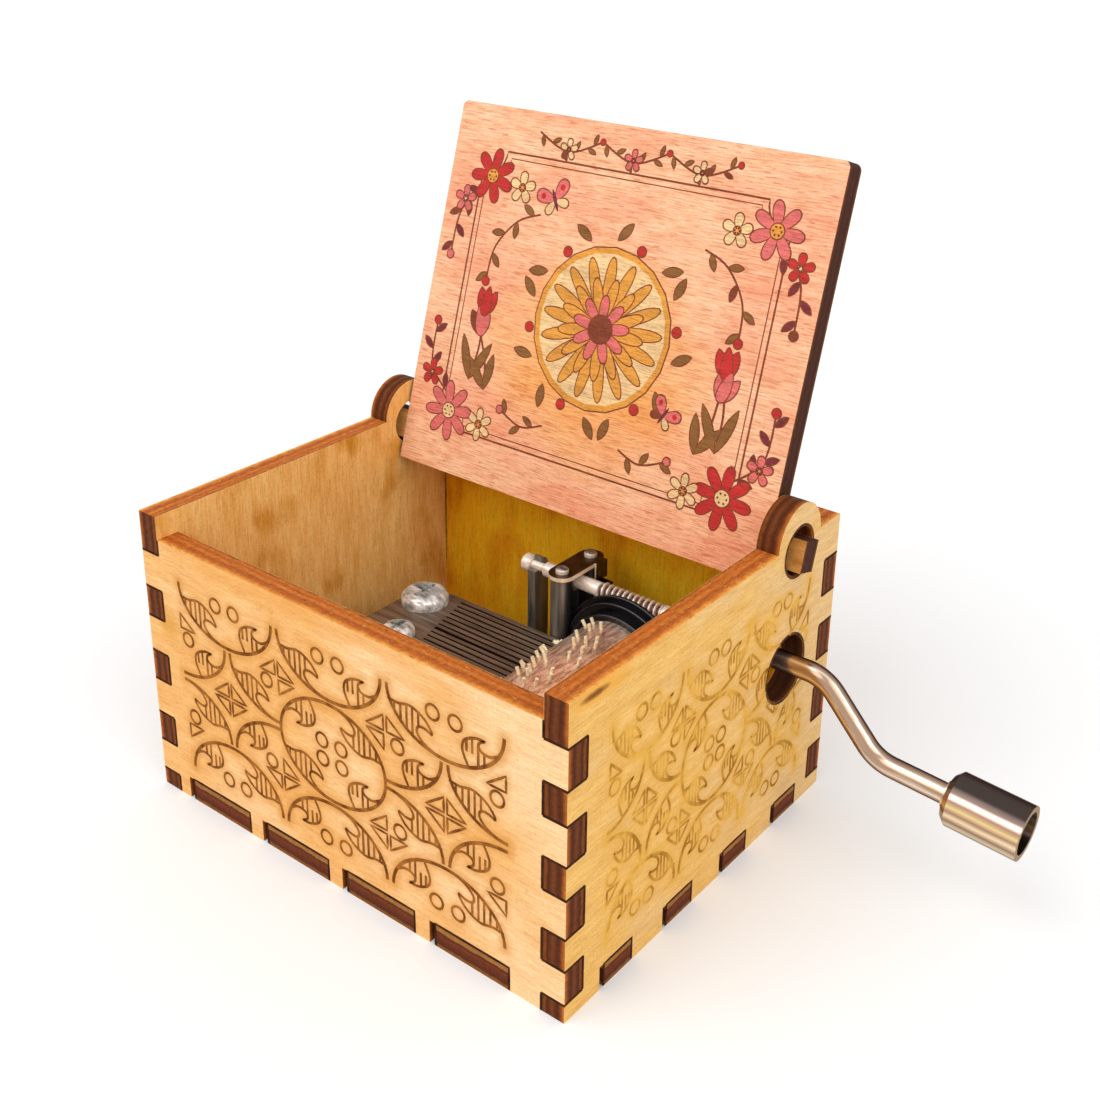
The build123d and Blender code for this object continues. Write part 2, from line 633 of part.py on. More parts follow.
def main():
    """Write one file for each piece."""
    pieces = {
        "front_panel": long_panel(FRONT_HEIGHT, -HALF_DEPTH, -INNER_Y),
        "back_panel": long_panel(CASE_HEIGHT, INNER_Y, HALF_DEPTH),
        "left_side_panel": side_panel(-HALF_WIDTH, -INNER_X),
        "right_side_panel": right_side_panel(),
        "bottom_panel": bottom_panel(),
        "lid_panel": lid_panel(),
        "movement_bedplate": bedplate(),
        "comb": comb(),
        "comb_weights": comb_weights(),
        "comb_screw_rear": pan_screw(REAR_SCREW, REAR_HEAD_RADIUS, REAR_HEAD_HEIGHT),
        "comb_screw_front": pan_screw(FRONT_SCREW, FRONT_HEAD_RADIUS, FRONT_HEAD_HEIGHT),
        "movement_screws": movement_screws(),
        "shaft_strap": shaft_strap(),
        "strap_rivets": strap_rivets(),
        "cylinder_drum": drum(),
        "cylinder_pins": drum_pins(),
        "cylinder_cap_front": drum_cap(DRUM_FRONT),
        "cylinder_cap_rear": drum_cap(DRUM_BACK - CAP_THICKNESS),
        "cylinder_arbor": rod_y(ARBOR_FRONT, ARBOR_BACK, CYLINDER_X, CYLINDER_Z, ARBOR_RADIUS),
        "worm_wheel": worm_wheel(),
        "worm_shaft": worm_shaft(),
        "shaft_collar": shaft_collar(),
        "crank_rod": crank_rod(),
        "crank_ferrule": crank_ferrule(),
    }
    os.makedirs("parts", exist_ok=True)
    for name, piece in pieces.items():
        export_step(piece, f"parts/{name}.step")


main()
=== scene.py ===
"""Looks of a small hand-cranked music box: engraved plywood case, printed lid and comb movement.

Metres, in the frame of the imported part: +X is the crank side and the front panel faces -Y.
"""

import math

import bmesh
import bpy
from mathutils import Matrix, Vector
from mathutils.kdtree import KDTree


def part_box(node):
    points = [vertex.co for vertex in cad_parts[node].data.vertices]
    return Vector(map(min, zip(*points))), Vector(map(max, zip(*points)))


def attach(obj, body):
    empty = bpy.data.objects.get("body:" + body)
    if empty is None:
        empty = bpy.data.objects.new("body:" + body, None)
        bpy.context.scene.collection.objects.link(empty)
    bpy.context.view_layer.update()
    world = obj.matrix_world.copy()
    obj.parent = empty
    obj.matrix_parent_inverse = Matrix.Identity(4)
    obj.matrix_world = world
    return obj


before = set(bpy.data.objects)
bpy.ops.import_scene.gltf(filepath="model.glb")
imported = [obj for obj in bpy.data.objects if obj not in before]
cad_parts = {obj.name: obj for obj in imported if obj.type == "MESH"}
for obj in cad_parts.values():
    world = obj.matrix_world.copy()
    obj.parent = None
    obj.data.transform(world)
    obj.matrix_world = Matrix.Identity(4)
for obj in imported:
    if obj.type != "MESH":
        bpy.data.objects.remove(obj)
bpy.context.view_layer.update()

MM = 0.001
PLY = 3.0 * MM

# Case, read from the frame
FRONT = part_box("front_panel")
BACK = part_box("back_panel")
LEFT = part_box("left_side_panel")
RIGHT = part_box("right_side_panel")
HINGE = Vector((0, 16.5 * MM, FRONT[1].z + PLY / 2))
LID_LEAN = math.radians(16.7)
LID_HALF = 28.6 * MM

# Levels of the corner fingers from the top down
FINGER_LEVELS = [38.0, 33.0, 28.2, 24.2, 19.4, 15.4, 10.6, 6.6, 2.3, 0.0]
WALL_TOP = FINGER_LEVELS[0]

# Each row of notches: a notch's width, the pitch, the shift from the middle and the tab's slack
FRONT_NOTCHES = (11.3, 13.5, -1.2, 0.9)
BACK_NOTCHES = (11.3, 13.5, 1.2, 0.9)
SIDE_NOTCHES = (5.7, 11.5, 0.0, 0.75)
NOTCHES = 4

# Crank hole in the right side panel
CRANK_HOLE = (15.3, 21.9)
CRANK_HOLE_RADIUS = 4.15

# Hinge hole in the ears, seen from the right
HINGE_HOLE = (16.5, 36.8)
HINGE_HOLE_RADIUS = 3.0

# Burned lines: how wide, how proud, and how far the scorch spreads
ARC_WIDTH = 0.44
LEAF_WIDTH = 0.34
HATCH_WIDTH = 0.3
RING_WIDTH = 0.32
LINE_LIFT = 0.02
LINE_STEP = 0.0004
LINE_STEPS = 40
LINE_THICKNESS = LINE_LIFT * 1.5
SEAM_LIFT = 0.012
RIM_LIFT = 0.014
TRACE_STEP = 0.25
SCORCH_LIFT = 0.012
SCORCH_CELL = 0.45
SCORCH_REACH = 0.75
SCORCH_SHARE = 0.72

# Finish of bare and printed wood, and the width over which its tone may drift
WOOD_ROUGHNESS = 0.72
WOOD_GLOSS = 0.12
DRIFT_WIDTH = 64 * MM

# Crank shaft: its axis, its widest radius, and where its thread begins and ends
SHAFT_LOW, SHAFT_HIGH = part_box("worm_shaft")
SHAFT = (SHAFT_LOW + SHAFT_HIGH) / 2
SHAFT_REACH = (SHAFT_HIGH.z - SHAFT_LOW.z) / 2
WORM_LEFT = 5.2 * MM
WORM_RIGHT = 15.0 * MM

# Right side of the two posts that carry the shaft
POST_RIGHT = 2.4 * MM


def paint(red, green, blue):
    """A colour as seen on a screen, 0 to 255 each, as the linear colour that Blender mixes."""

    def linear(value):
        share = value / 255
        return share / 12.92 if share <= 0.04045 else ((share + 0.055) / 1.055) ** 2.4

    return (linear(red), linear(green), linear(blue), 1.0)


class Board:
    """One face of a board: its origin, the way across, the way up and the way out."""

    def __init__(self, origin, across, up):
        self.origin = Vector(origin)
        self.across = Vector(across).normalized()
        self.up = Vector(up).normalized()
        self.out = self.across.cross(self.up)

    def place(self, across, up, lift=0.0):
        """The point at these millimetres on the face, lifted off it."""
        return self.origin + (self.across * across + self.up * up + self.out * lift) * MM

    def turn(self):
        """The rotation from the frame into across, up and out."""
        return Matrix((self.across, self.up, self.out))


FRONT_FACE = Board((0, FRONT[0].y, 0), (1, 0, 0), (0, 0, 1))
BACK_FACE = Board((0, BACK[1].y, 0), (-1, 0, 0), (0, 0, 1))
RIGHT_FACE = Board((RIGHT[1].x, 0, 0), (0, 1, 0), (0, 0, 1))
LEFT_FACE = Board((LEFT[0].x, 0, 0), (0, -1, 0), (0, 0, 1))
FLOOR_FACE = Board((0, 0, 0), (1, 0, 0), (0, -1, 0))
LID_UP = Vector((0, math.sin(LID_LEAN), math.cos(LID_LEAN)))
LID_OUT = Vector((0, -math.cos(LID_LEAN), math.sin(LID_LEAN)))
LID_FACE = Board(HINGE + LID_OUT * PLY / 2, (1, 0, 0), LID_UP)


# Material building blocks


def grey(share):
    """A grey between black at 0 and white at 1."""
    return (share, share, share, 1.0)


WHITE = grey(1.0)
BLACK = grey(0.0)


def colour_stops(*rows):
    """Stops for a ramp, each given as its place, red, green and blue."""
    return [(row[0], paint(*row[1:])) for row in rows]


def plug(socket, value):
    """Links a socket or sets its value."""
    if isinstance(value, bpy.types.NodeSocket):
        socket.id_data.links.new(value, socket)
    else:
        socket.default_value = value


def new_finish(name, roughness, metallic=0.0, gloss=0.5):
    """A material, the tree to build on, and its Principled shader."""
    material = bpy.data.materials.new(name)
    material.use_nodes = True
    shader = material.node_tree.nodes["Principled BSDF"]
    shader.inputs["Roughness"].default_value = roughness
    shader.inputs["Metallic"].default_value = metallic
    shader.inputs["Specular IOR Level"].default_value = gloss
    return material, material.node_tree, shader


def calc(operation, first, second=0.0, third=0.0):
    """One step of arithmetic."""
    made = first.id_data.nodes.new("ShaderNodeMath")
    made.operation = operation
    for socket, value in zip(made.inputs, (first, second, third)):
        plug(socket, value)
    return made.outputs[0]


def mix(share, first, second, blend="MIX"):
    """The first colour, with this share of the second."""
    made = first.id_data.nodes.new("ShaderNodeMix")
    made.data_type = "RGBA"
    made.blend_type = blend
    plug(made.inputs[0], share)
    plug(made.inputs[6], first)
    plug(made.inputs[7], second)
    return made.outputs[2]


def squares(first, second):
    """The sum of the squares of two numbers."""
    return calc("ADD", calc("MULTIPLY", first, first), calc("MULTIPLY", second, second))


def rescale(value, low, high, first=0.0, last=1.0):
    """A value between low and high as one between first and last, held at the ends."""
    made = value.id_data.nodes.new("ShaderNodeMapRange")
    for name, number in zip(("From Min", "From Max", "To Min", "To Max"), (low, high, first, last)):
        made.inputs[name].default_value = number
    plug(made.inputs[0], value)
    return made.outputs[0]


def ramp(share, stops):
    """A colour that runs through these stops."""
    made = share.id_data.nodes.new("ShaderNodeValToRGB")
    elements = made.color_ramp.elements
    while len(elements) < len(stops):
        elements.new(0.5)
    for element, (position, colour) in zip(elements, stops):
        element.position = position
        element.color = colour
    plug(made.inputs[0], share)
    return made.outputs[0]


def noise(vector, size, detail=3.0, roughness=0.5):
    """Grain of this size in millimetres along each way: a number between 0 and 1."""
    nodes = vector.id_data.nodes
    spread = nodes.new("ShaderNodeMapping")
    spread.inputs["Scale"].default_value = [1 / (s * MM) for s in size]
    plug(spread.inputs["Vector"], vector)
    made = nodes.new("ShaderNodeTexNoise")
    made.inputs["Scale"].default_value = 1.0
    made.inputs["Detail"].default_value = detail
    made.inputs["Roughness"].default_value = roughness
    plug(made.inputs["Vector"], spread.outputs[0])
    return made.outputs[0]


def object_spot(tree):
    """Object coordinates."""
    return tree.nodes.new("ShaderNodeTexCoord").outputs["Object"]


def board_spot(tree, board):
    """Object coordinates turned into across, up and out of one board."""
    made = tree.nodes.new("ShaderNodeMapping")
    turn = board.turn()
    made.inputs["Rotation"].default_value = turn.to_euler()
    made.inputs["Location"].default_value = turn @ -board.origin
    plug(made.inputs["Vector"], object_spot(tree))
    return made.outputs[0]


def split(vector):
    """The three numbers of a vector."""
    made = vector.id_data.nodes.new("ShaderNodeSeparateXYZ")
    plug(made.inputs[0], vector)
    return made.outputs


def facing(tree):
    """The three numbers of the way that the surface faces on its own piece."""
    return split(tree.nodes.new("ShaderNodeTexCoord").outputs["Normal"])


def relief(shader, height, depth):
    """Fine relief of this depth in millimetres."""
    made = height.id_data.nodes.new("ShaderNodeBump")
    made.inputs["Strength"].default_value = 0.5
    made.inputs["Distance"].default_value = depth * MM
    plug(made.inputs["Height"], height)
    plug(shader.inputs["Normal"], made.outputs[0])


# Plywood


def veneer(spot, tones, along_up=False, lines=0.55, pores=0.32, pore=1.1):
    """Face veneer in a light, a dark and a fleck tone: streaks, lines, pores and a fine speckle."""
    light, dark, fleck = (paint(*tone) for tone in tones)

    def grain(along, across):
        return (across, along, 5.0) if along_up else (along, across, 5.0)

    body = ramp(noise(spot, grain(7.0, 1.3), 4.0, 0.6), ((0.3, dark), (0.66, light)))
    fine = noise(spot, grain(3.2, 0.17), 2.0, 0.7)
    fine = ramp(fine, ((0.36, (0.76, 0.66, 0.55, 1)), (0.56, WHITE)))
    body = mix(lines, body, fine, "MULTIPLY")
    speck = noise(spot, (0.34, 0.3, 0.34), 2.0, 0.6)
    speck = ramp(speck, ((0.36, (0.8, 0.74, 0.66, 1)), (0.6, WHITE)))
    body = mix(0.4, body, speck, "MULTIPLY")
    pits = noise(spot, grain(pore, 0.2), 1.0, 0.4)
    pits = calc("GREATER_THAN", pits, 0.69 - 0.1 * pores)
    return mix(calc("MULTIPLY", pits, pores), body, fleck)


def patchy(spot, colour, other, size, lean=0.0, low=0.42, high=0.68):
    """Drifts into another tone in large soft patches, more of them towards one side."""
    across = split(spot)[0]
    drift = calc("MULTIPLY_ADD", across, lean / DRIFT_WIDTH, noise(spot, size, 2.0, 0.5))
    return mix(rescale(drift, low, high), colour, other)


def blot(spot, colour, tone, centre, reach, strength):
    """A soft smudge at this place on a board, in millimetres across and up."""
    across, up, _ = split(spot)
    side = calc("DIVIDE", calc("SUBTRACT", across, centre[0] * MM), reach[0] * MM)
    high = calc("DIVIDE", calc("SUBTRACT", up, centre[1] * MM), reach[1] * MM)
    waver = calc("MULTIPLY_ADD", noise(spot, (1.2, 1.2, 1.2)), 0.8, -0.4)
    gap = calc("ADD", squares(side, high), waver)
    share = ramp(gap, ((0.1, grey(strength)), (1.0, BLACK)))
    return mix(share, colour, paint(*tone))


def laser_edge(spot, depth, stops, streak_tone, streak=0.5):
    """A laser-cut edge: the plies as wavering bands across the thickness, with streaks along them."""
    waver = calc("MULTIPLY_ADD", noise(spot, (1.3, 1.3, 4.0), 2.0), 0.16, -0.08)
    bands = ramp(calc("ADD", calc("DIVIDE", depth, PLY), waver), stops)
    streaks = noise(spot, (5.0, 5.0, 0.2), 3.0, 0.6)
    bands = mix(calc("MULTIPLY", streaks, streak), bands, streak_tone)
    char = noise(spot, (0.5, 0.5, 0.7), 3.0, 0.6)
    char = ramp(char, ((0.3, (0.62, 0.52, 0.42, 1)), (0.62, WHITE)))
    return mix(0.65, bands, char, "MULTIPLY")


def lit_top_edge(spot, depth, colour):
    """Painted light on the edges that face up at the top of the walls: they are made lighter and more
    golden than the corner fingers, as if lit from above.
    """
    rim = laser_edge(spot, depth, LIT_RIM_PLIES, paint(176, 88, 30), 0.4)
    fibres = noise(spot, (0.8, 0.8, 0.15), 2.0, 0.7)
    rim = mix(ramp(fibres, FIBRE_SHARE), rim, paint(248, 184, 96))
    chars = noise(spot, (1.1, 1.1, 0.22), 3.0, 0.7)
    rim = mix(ramp(chars, CHAR_SHARE), rim, paint(104, 48, 18))
    height = split(object_spot(spot.id_data))[2]
    top = calc("GREATER_THAN", facing(spot.id_data)[2], 0.7)
    top = calc("MULTIPLY", top, calc("GREATER_THAN", height, FRONT[1].z - MM))
    top = calc("MULTIPLY", top, calc("LESS_THAN", height, BACK[1].z + 0.1 * MM))
    return mix(top, colour, rim)


def shaded_hole_wall(spot):
    """How much of the crank hole's own wall is darkened: charred like every cut edge, and darker still as
    painted shade inside the hole; none elsewhere.
    """
    across, up, _ = split(spot)
    side = calc("SUBTRACT", across, CRANK_HOLE[0] * MM)
    high = calc("SUBTRACT", up, CRANK_HOLE[1] * MM)
    reach = (CRANK_HOLE_RADIUS + 0.1) * MM
    inside = calc("LESS_THAN", squares(side, high), reach * reach)
    return calc("MULTIPLY", inside, 0.72)


def plywood(name, board, face, inside, inside_up=True, edges=None, rims=True, scorched=(206, 138, 52)):
    """A board's finish: its outer face, its inner face, its laser-cut edges and its scorched places."""
    material, tree, shader = new_finish(name, WOOD_ROUGHNESS, gloss=WOOD_GLOSS)
    spot = board_spot(tree, board)
    depth = calc("MULTIPLY", split(spot)[2], -1.0)
    skin = 0.03 * MM
    colour = laser_edge(spot, depth, edges or FINGER_PLIES, paint(52, 24, 10))
    # Painted light: the upward top edges get lighter plies than the other cut edges.
    if rims:
        colour = lit_top_edge(spot, depth, colour)
    # Painted shade: the crank hole's wall is darkened beyond the other cut edges.
    if board is RIGHT_FACE:
        colour = mix(shaded_hole_wall(spot), colour, paint(44, 22, 10))
    outer = calc("LESS_THAN", depth, skin)
    inner = calc("GREATER_THAN", depth, PLY - skin)
    colour = mix(outer, colour, face(spot, False))
    colour = mix(inner, colour, inside(spot, inside_up))
    burn = tree.nodes.new("ShaderNodeAttribute")
    burn.attribute_name = "burn"
    colour = mix(burn.outputs["Fac"], colour, paint(*scorched))
    plug(shader.inputs["Base Color"], colour)
    relief(shader, noise(spot, (3.0, 0.12, 0.12)), 0.02)
    return material


FIBRE_SHARE = ((0.56, BLACK), (0.7, grey(0.34)))
CHAR_SHARE = ((0.3, grey(0.75)), (0.42, BLACK))
FINGER_PLIES = colour_stops(
    (0.0, 206, 124, 52), (0.1, 176, 94, 32), (0.2, 116, 56, 18), (0.32, 84, 38, 12),
    (0.52, 126, 66, 26), (0.74, 80, 36, 10), (0.86, 146, 76, 26), (1.0, 92, 44, 14),
)
# Lighter plies of the upward top edges, painted light from above.
LIT_RIM_PLIES = colour_stops(
    (0.0, 255, 196, 106), (0.1, 240, 158, 66), (0.24, 196, 108, 42), (0.42, 168, 84, 36),
    (0.56, 214, 126, 48), (0.72, 180, 92, 32), (0.88, 206, 116, 46), (1.0, 96, 46, 20),
)
TAB_PLIES = colour_stops(
    (0.0, 160, 104, 54), (0.14, 140, 88, 44), (0.2, 92, 42, 20), (0.6, 128, 60, 30),
    (0.7, 84, 38, 18), (0.78, 184, 126, 64), (1.0, 168, 110, 52),
)
LID_PLIES = colour_stops(
    (0.0, 150, 84, 42), (0.1, 96, 48, 24), (0.3, 64, 32, 18), (0.5, 82, 40, 22),
    (0.8, 58, 28, 16), (1.0, 132, 78, 40),
)


def warm_maple(spot, along_up):
    """Bare maple of the front, back and left: orange tan that drifts into a pinkish cream."""
    tan = veneer(spot, ((246, 192, 124), (232, 170, 98), (190, 120, 58)), along_up)
    cream = veneer(spot, ((254, 216, 166), (244, 196, 142), (206, 146, 92)), along_up)
    return patchy(spot, tan, cream, (20.0, 11.0, 20.0), 0.3)


def front_maple(spot, along_up):
    """The front's maple, with smoke marks beside its upper left fingers."""
    wood = warm_maple(spot, along_up)
    wood = blot(spot, wood, (206, 146, 50), (-28.2, 24.2), (2.4, 2.8), 0.6)
    return blot(spot, wood, (222, 150, 66), (-6.0, 34.2), (24.0, 1.1), 0.5)


def yellow_maple(spot, along_up):
    """Bare maple of the crank side: yellow tan with greyer patches and smoke marks under its rim."""
    tan = veneer(spot, ((242, 196, 116), (226, 174, 92), (186, 132, 60)), along_up)
    pale = veneer(spot, ((236, 198, 140), (222, 180, 122), (184, 138, 84)), along_up)
    wood = patchy(spot, tan, pale, (14.0, 8.0, 14.0), 0.5)
    wood = blot(spot, wood, (232, 164, 66), (-21.0, 37.2), (6.0, 1.6), 0.8)
    return blot(spot, wood, (112, 62, 22), (-22.0, 37.1), (2.6, 0.55), 0.9)


def inside_maple(spot, along_up):
    """Inner faces of the front and sides, smoked by the laser in blotches."""
    clean = veneer(spot, ((255, 208, 130), (242, 180, 96), (188, 126, 52)), along_up)
    smoked = veneer(spot, ((232, 168, 66), (204, 136, 42), (140, 84, 20)), along_up)
    return patchy(spot, clean, smoked, (7.0, 10.0, 7.0), 0.0, 0.54, 0.7)


def back_maple(spot, along_up):
    """Inner face of the back panel, a deeper amber."""
    clean = veneer(spot, ((255, 208, 42), (255, 188, 18), (196, 120, 8)), along_up)
    smoked = veneer(spot, ((244, 162, 20), (212, 130, 8), (132, 76, 4)), along_up)
    wood = patchy(spot, clean, smoked, (8.0, 14.0, 8.0), 0.0, 0.5, 0.7)
    return blot(spot, wood, (46, 24, 8), (29.1, 22.0), (0.5, 12.0), 0.95)


def floor_maple(spot, along_up):
    """Inner face of the bottom panel."""
    return veneer(spot, ((214, 156, 74), (184, 124, 48), (140, 84, 26)), along_up)


def lid_back_maple(spot, along_up):
    """Outer face of the lid, which hides behind it while it stands open."""
    return veneer(spot, ((240, 188, 126), (226, 166, 102), (190, 126, 72)), along_up)


def blush_maple(spot, along_up):
    """The lid's printed ground: pink wood with a golden wash in the middle, and bare tan tabs."""
    lines = (along_up, 1.0, 0.55, 2.2)
    pink = veneer(spot, ((255, 206, 168), (248, 182, 142), (204, 112, 78)), *lines)
    rosy = veneer(spot, ((252, 182, 146), (240, 156, 120), (190, 92, 66)), *lines)
    ground = patchy(spot, pink, rosy, (16.0, 9.0, 16.0))
    gold = veneer(spot, ((252, 182, 92), (242, 154, 62), (194, 98, 36)), *lines)
    bare = veneer(spot, ((216, 158, 86), (184, 120, 54), (130, 78, 30)), along_up)
    across, up, _ = split(spot)
    side = calc("DIVIDE", across, 24 * MM)
    high = calc("DIVIDE", calc("SUBTRACT", up, 15 * MM), 19 * MM)
    waver = calc("MULTIPLY", noise(spot, (9.0, 7.0, 9.0), 3.0), 0.7)
    wash = calc("ADD", squares(side, high), waver)
    wash = ramp(wash, ((0.3, grey(0.85)), (1.3, BLACK)))
    tab = calc("GREATER_THAN", calc("ABSOLUTE", across), LID_HALF)
    return mix(tab, mix(wash, ground, gold), bare)


# Metals, plastic and burned lines


def metal(name, light, dark, roughness, size, spread=0.12, metallic=1.0, scratch=0.0):
    """Metal with a tint that wanders, fine streaks in its polish, and scratches this deep."""
    material, tree, shader = new_finish(name, roughness, metallic)
    spot = object_spot(tree)
    cloud = noise(spot, size, 3.0, 0.55)
    tint = ramp(cloud, ((0.34, paint(*dark)), (0.64, paint(*light))))
    plug(shader.inputs["Base Color"], tint)
    polish = noise(spot, [s / 3 for s in size], 2.0)
    polish = rescale(polish, 0.0, 1.0, max(0.04, roughness - spread), roughness + spread)
    plug(shader.inputs["Roughness"], polish)
    if scratch:
        relief(shader, noise(spot, [s / 2 for s in size], 2.0, 0.6), scratch)
    return material


def reopen(material):
    """A finished material's tree, its shader and the colour that it has so far."""
    tree = material.node_tree
    shader = tree.nodes["Principled BSDF"]
    return tree, shader, shader.inputs["Base Color"].links[0].from_socket


def painted_side_light(material, colour, metallic, right=1.0):
    """A tone that stands in for light or shade on the upright sides of a plate, up to this place along X in
    metres.
    """
    tree, shader, top = reopen(material)
    shine = shader.inputs["Metallic"].default_value
    side = calc("LESS_THAN", facing(tree)[2], 0.6)
    side = calc("MULTIPLY", side, calc("LESS_THAN", split(object_spot(tree))[0], right))
    plug(shader.inputs["Base Color"], mix(side, top, paint(*colour)))
    plug(shader.inputs["Metallic"], calc("MULTIPLY_ADD", side, metallic - shine, shine))
    return material


def shaded_casting_end(material, start, colour):
    """Painted shade: a dark tone past this place along X, where the wheel runs in its casting."""
    tree, shader, clean = reopen(material)
    along = split(object_spot(tree))[0]
    share = rescale(along, start - 0.7 * MM, start + 0.1 * MM)
    plug(shader.inputs["Base Color"], mix(share, clean, paint(*colour)))
    return material


def reflection_banded_nickel(name, way, waver, stops):
    """Nickel of the crank with painted reflections: light and dark bands by how far each place faces this
    way, with a waver in them.
    """
    material, tree, shader = new_finish(name, 0.2, 0.9)
    shader.inputs["Specular Tint"].default_value = (0.3, 0.23, 0.2, 1)
    spot = object_spot(tree)
    normal = facing(tree)
    share = calc("MULTIPLY", normal[0], way[0])
    for part, weight in zip(normal[1:], way[1:]):
        share = calc("MULTIPLY_ADD", part, weight, share)
    share = calc("MULTIPLY_ADD", share, 0.5, 0.5)
    drift = calc("MULTIPLY_ADD", noise(spot, (9.0, 1.6, 1.6), 2.0, 0.5), waver, -waver / 2)
    bands = ramp(calc("ADD", share, drift), stops)
    plug(shader.inputs["Base Color"], bands)
    polish = rescale(noise(spot, (4.0, 0.4, 0.4), 2.0), 0.0, 1.0, 0.12, 0.28)
    plug(shader.inputs["Roughness"], polish)
    return material


def threaded_nickel():
    """Bright nickel of the worm: cream crests over grooves darkened as painted shade, by distance from the
    shaft's axis.
    """
    light, dark = (255, 246, 234), (232, 208, 190)
    material = metal("worm_nickel", light, dark, 0.26, (2.0, 1.0, 1.0), 0.1, 0.2)
    tree, shader, crest = reopen(material)
    along, side, high = split(object_spot(tree))
    side = calc("SUBTRACT", side, SHAFT.y)
    high = calc("SUBTRACT", high, SHAFT.z)
    away = calc("DIVIDE", calc("SQRT", squares(side, high)), SHAFT_REACH)
    # Painted shade in the grooves of the thread.
    groove = ramp(away, ((0.62, WHITE), (0.8, BLACK)))
    threaded = calc("GREATER_THAN", along, WORM_LEFT)
    threaded = calc("MULTIPLY", threaded, calc("LESS_THAN", along, WORM_RIGHT))
    groove = calc("MULTIPLY", groove, threaded)
    plug(shader.inputs["Base Color"], mix(groove, crest, paint(128, 90, 70)))
    return material


def char_line(name, light, dark, size=1.6):
    """The bottom of a burned line: brown with darker and lighter stretches."""
    material, tree, shader = new_finish(name, 0.8, gloss=0.08)
    grain = noise(object_spot(tree), (size, size, size), 3.0, 0.6)
    tint = ramp(grain, ((0.36, paint(*dark)), (0.62, paint(*light))))
    plug(shader.inputs["Base Color"], tint)
    return material


def plastic(name, colour, roughness, gloss):
    """Black moulded plastic with a soft gloss and faint mould marks."""
    material, tree, shader = new_finish(name, roughness, gloss=gloss)
    spot = object_spot(tree)
    marks = noise(spot, (2.0, 0.6, 2.0))
    marks = ramp(marks, ((0.35, paint(8, 8, 10)), (0.65, paint(*colour))))
    plug(shader.inputs["Base Color"], marks)
    relief(shader, noise(spot, (1.4, 1.4, 1.4), 2.0), 0.02)
    return material


FRONT_WOOD = plywood("front_maple", FRONT_FACE, front_maple, inside_maple)
RIGHT_WOOD = plywood("right_maple", RIGHT_FACE, yellow_maple, inside_maple, scorched=(218, 162, 62))
LEFT_WOOD = plywood("left_maple", LEFT_FACE, warm_maple, inside_maple)
BACK_WOOD = plywood("back_maple", BACK_FACE, warm_maple, back_maple)
FLOOR_WOOD = plywood("floor_maple", FLOOR_FACE, warm_maple, floor_maple, False, TAB_PLIES, False)
LID_WOOD = plywood("lid_maple", LID_FACE, blush_maple, lid_back_maple, False, LID_PLIES, False)
FRONT_CHAR = char_line("front_burned_line", (162, 102, 44), (106, 58, 20))
RIGHT_CHAR = char_line("right_burned_line", (222, 168, 70), (160, 108, 36), 3.0)
SEAM_CHAR = char_line("charred_seam", (72, 38, 16), (34, 17, 8))
HOLE_CHAR = char_line("charred_hole_edge", (110, 66, 28), (60, 32, 14), 2.0)

CASTING = metal("plated_casting", (160, 158, 152), (92, 92, 90), 0.34, (0.7, 0.7, 9.0), 0.1, 0.7)
# Painted shade: the casting turns near black to the right of the posts.
CASTING = shaded_casting_end(CASTING, POST_RIGHT, (22, 21, 22))
COMB_STEEL = metal("tempered_comb", (148, 130, 112), (104, 90, 76), 0.42, (7.0, 0.5, 2.0), 0.12, 0.65)
# Painted shade: the comb's upright sides are darkened, a shaded copy of the same steel.
COMB_STEEL = painted_side_light(COMB_STEEL, (30, 22, 18), 0.3)
LEAD = metal("lead_weights", (96, 98, 102), (64, 66, 70), 0.6, (1.0, 1.0, 1.0))
# The zinc's white and dark grey patches are painted highlights and reflections on the screw heads.
ZINC = metal("bright_zinc", (255, 255, 253), (122, 132, 130), 0.18, (2.0, 0.9, 1.2), 0.06, 0.3, 0.35)
STRAP = metal("bronzed_strap", (90, 66, 46), (40, 29, 21), 0.24, (2.0, 2.0, 2.0), 0.1, 0.75)
# Painted highlight: the strap's upright sides are pale cream, as if catching the light.
STRAP = painted_side_light(STRAP, (244, 222, 194), 0.15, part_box("shaft_strap")[1].x - 0.3 * MM)
RIVETS = metal("strap_rivets", (176, 170, 166), (112, 104, 100), 0.3, (0.8, 0.8, 0.8), 0.1, 0.7)
# Painted highlight: the rivets' upright sides are paler than their tops.
RIVETS = painted_side_light(RIVETS, (240, 226, 206), 0.3)
DRUM = metal("rosy_drum", (255, 232, 212), (176, 136, 114), 0.3, (0.45, 1.8, 0.45), 0.14, 0.7, 0.05)
BRASS = metal("brass_pins", (255, 253, 226), (250, 232, 180), 0.3, (0.6, 0.6, 0.6), 0.1, 0.1)
ARBOR = metal("ground_arbor", (190, 190, 190), (150, 150, 150), 0.25, (1.0, 4.0, 1.0))
# Painted reflections of the crank rod, by how far each place faces its way.
ROD_REFLECTION_BANDS = colour_stops(
    (0.5, 58, 42, 38), (0.66, 92, 70, 62), (0.76, 134, 108, 90), (0.86, 178, 152, 130),
    (0.92, 242, 224, 206), (0.97, 176, 146, 122),
)
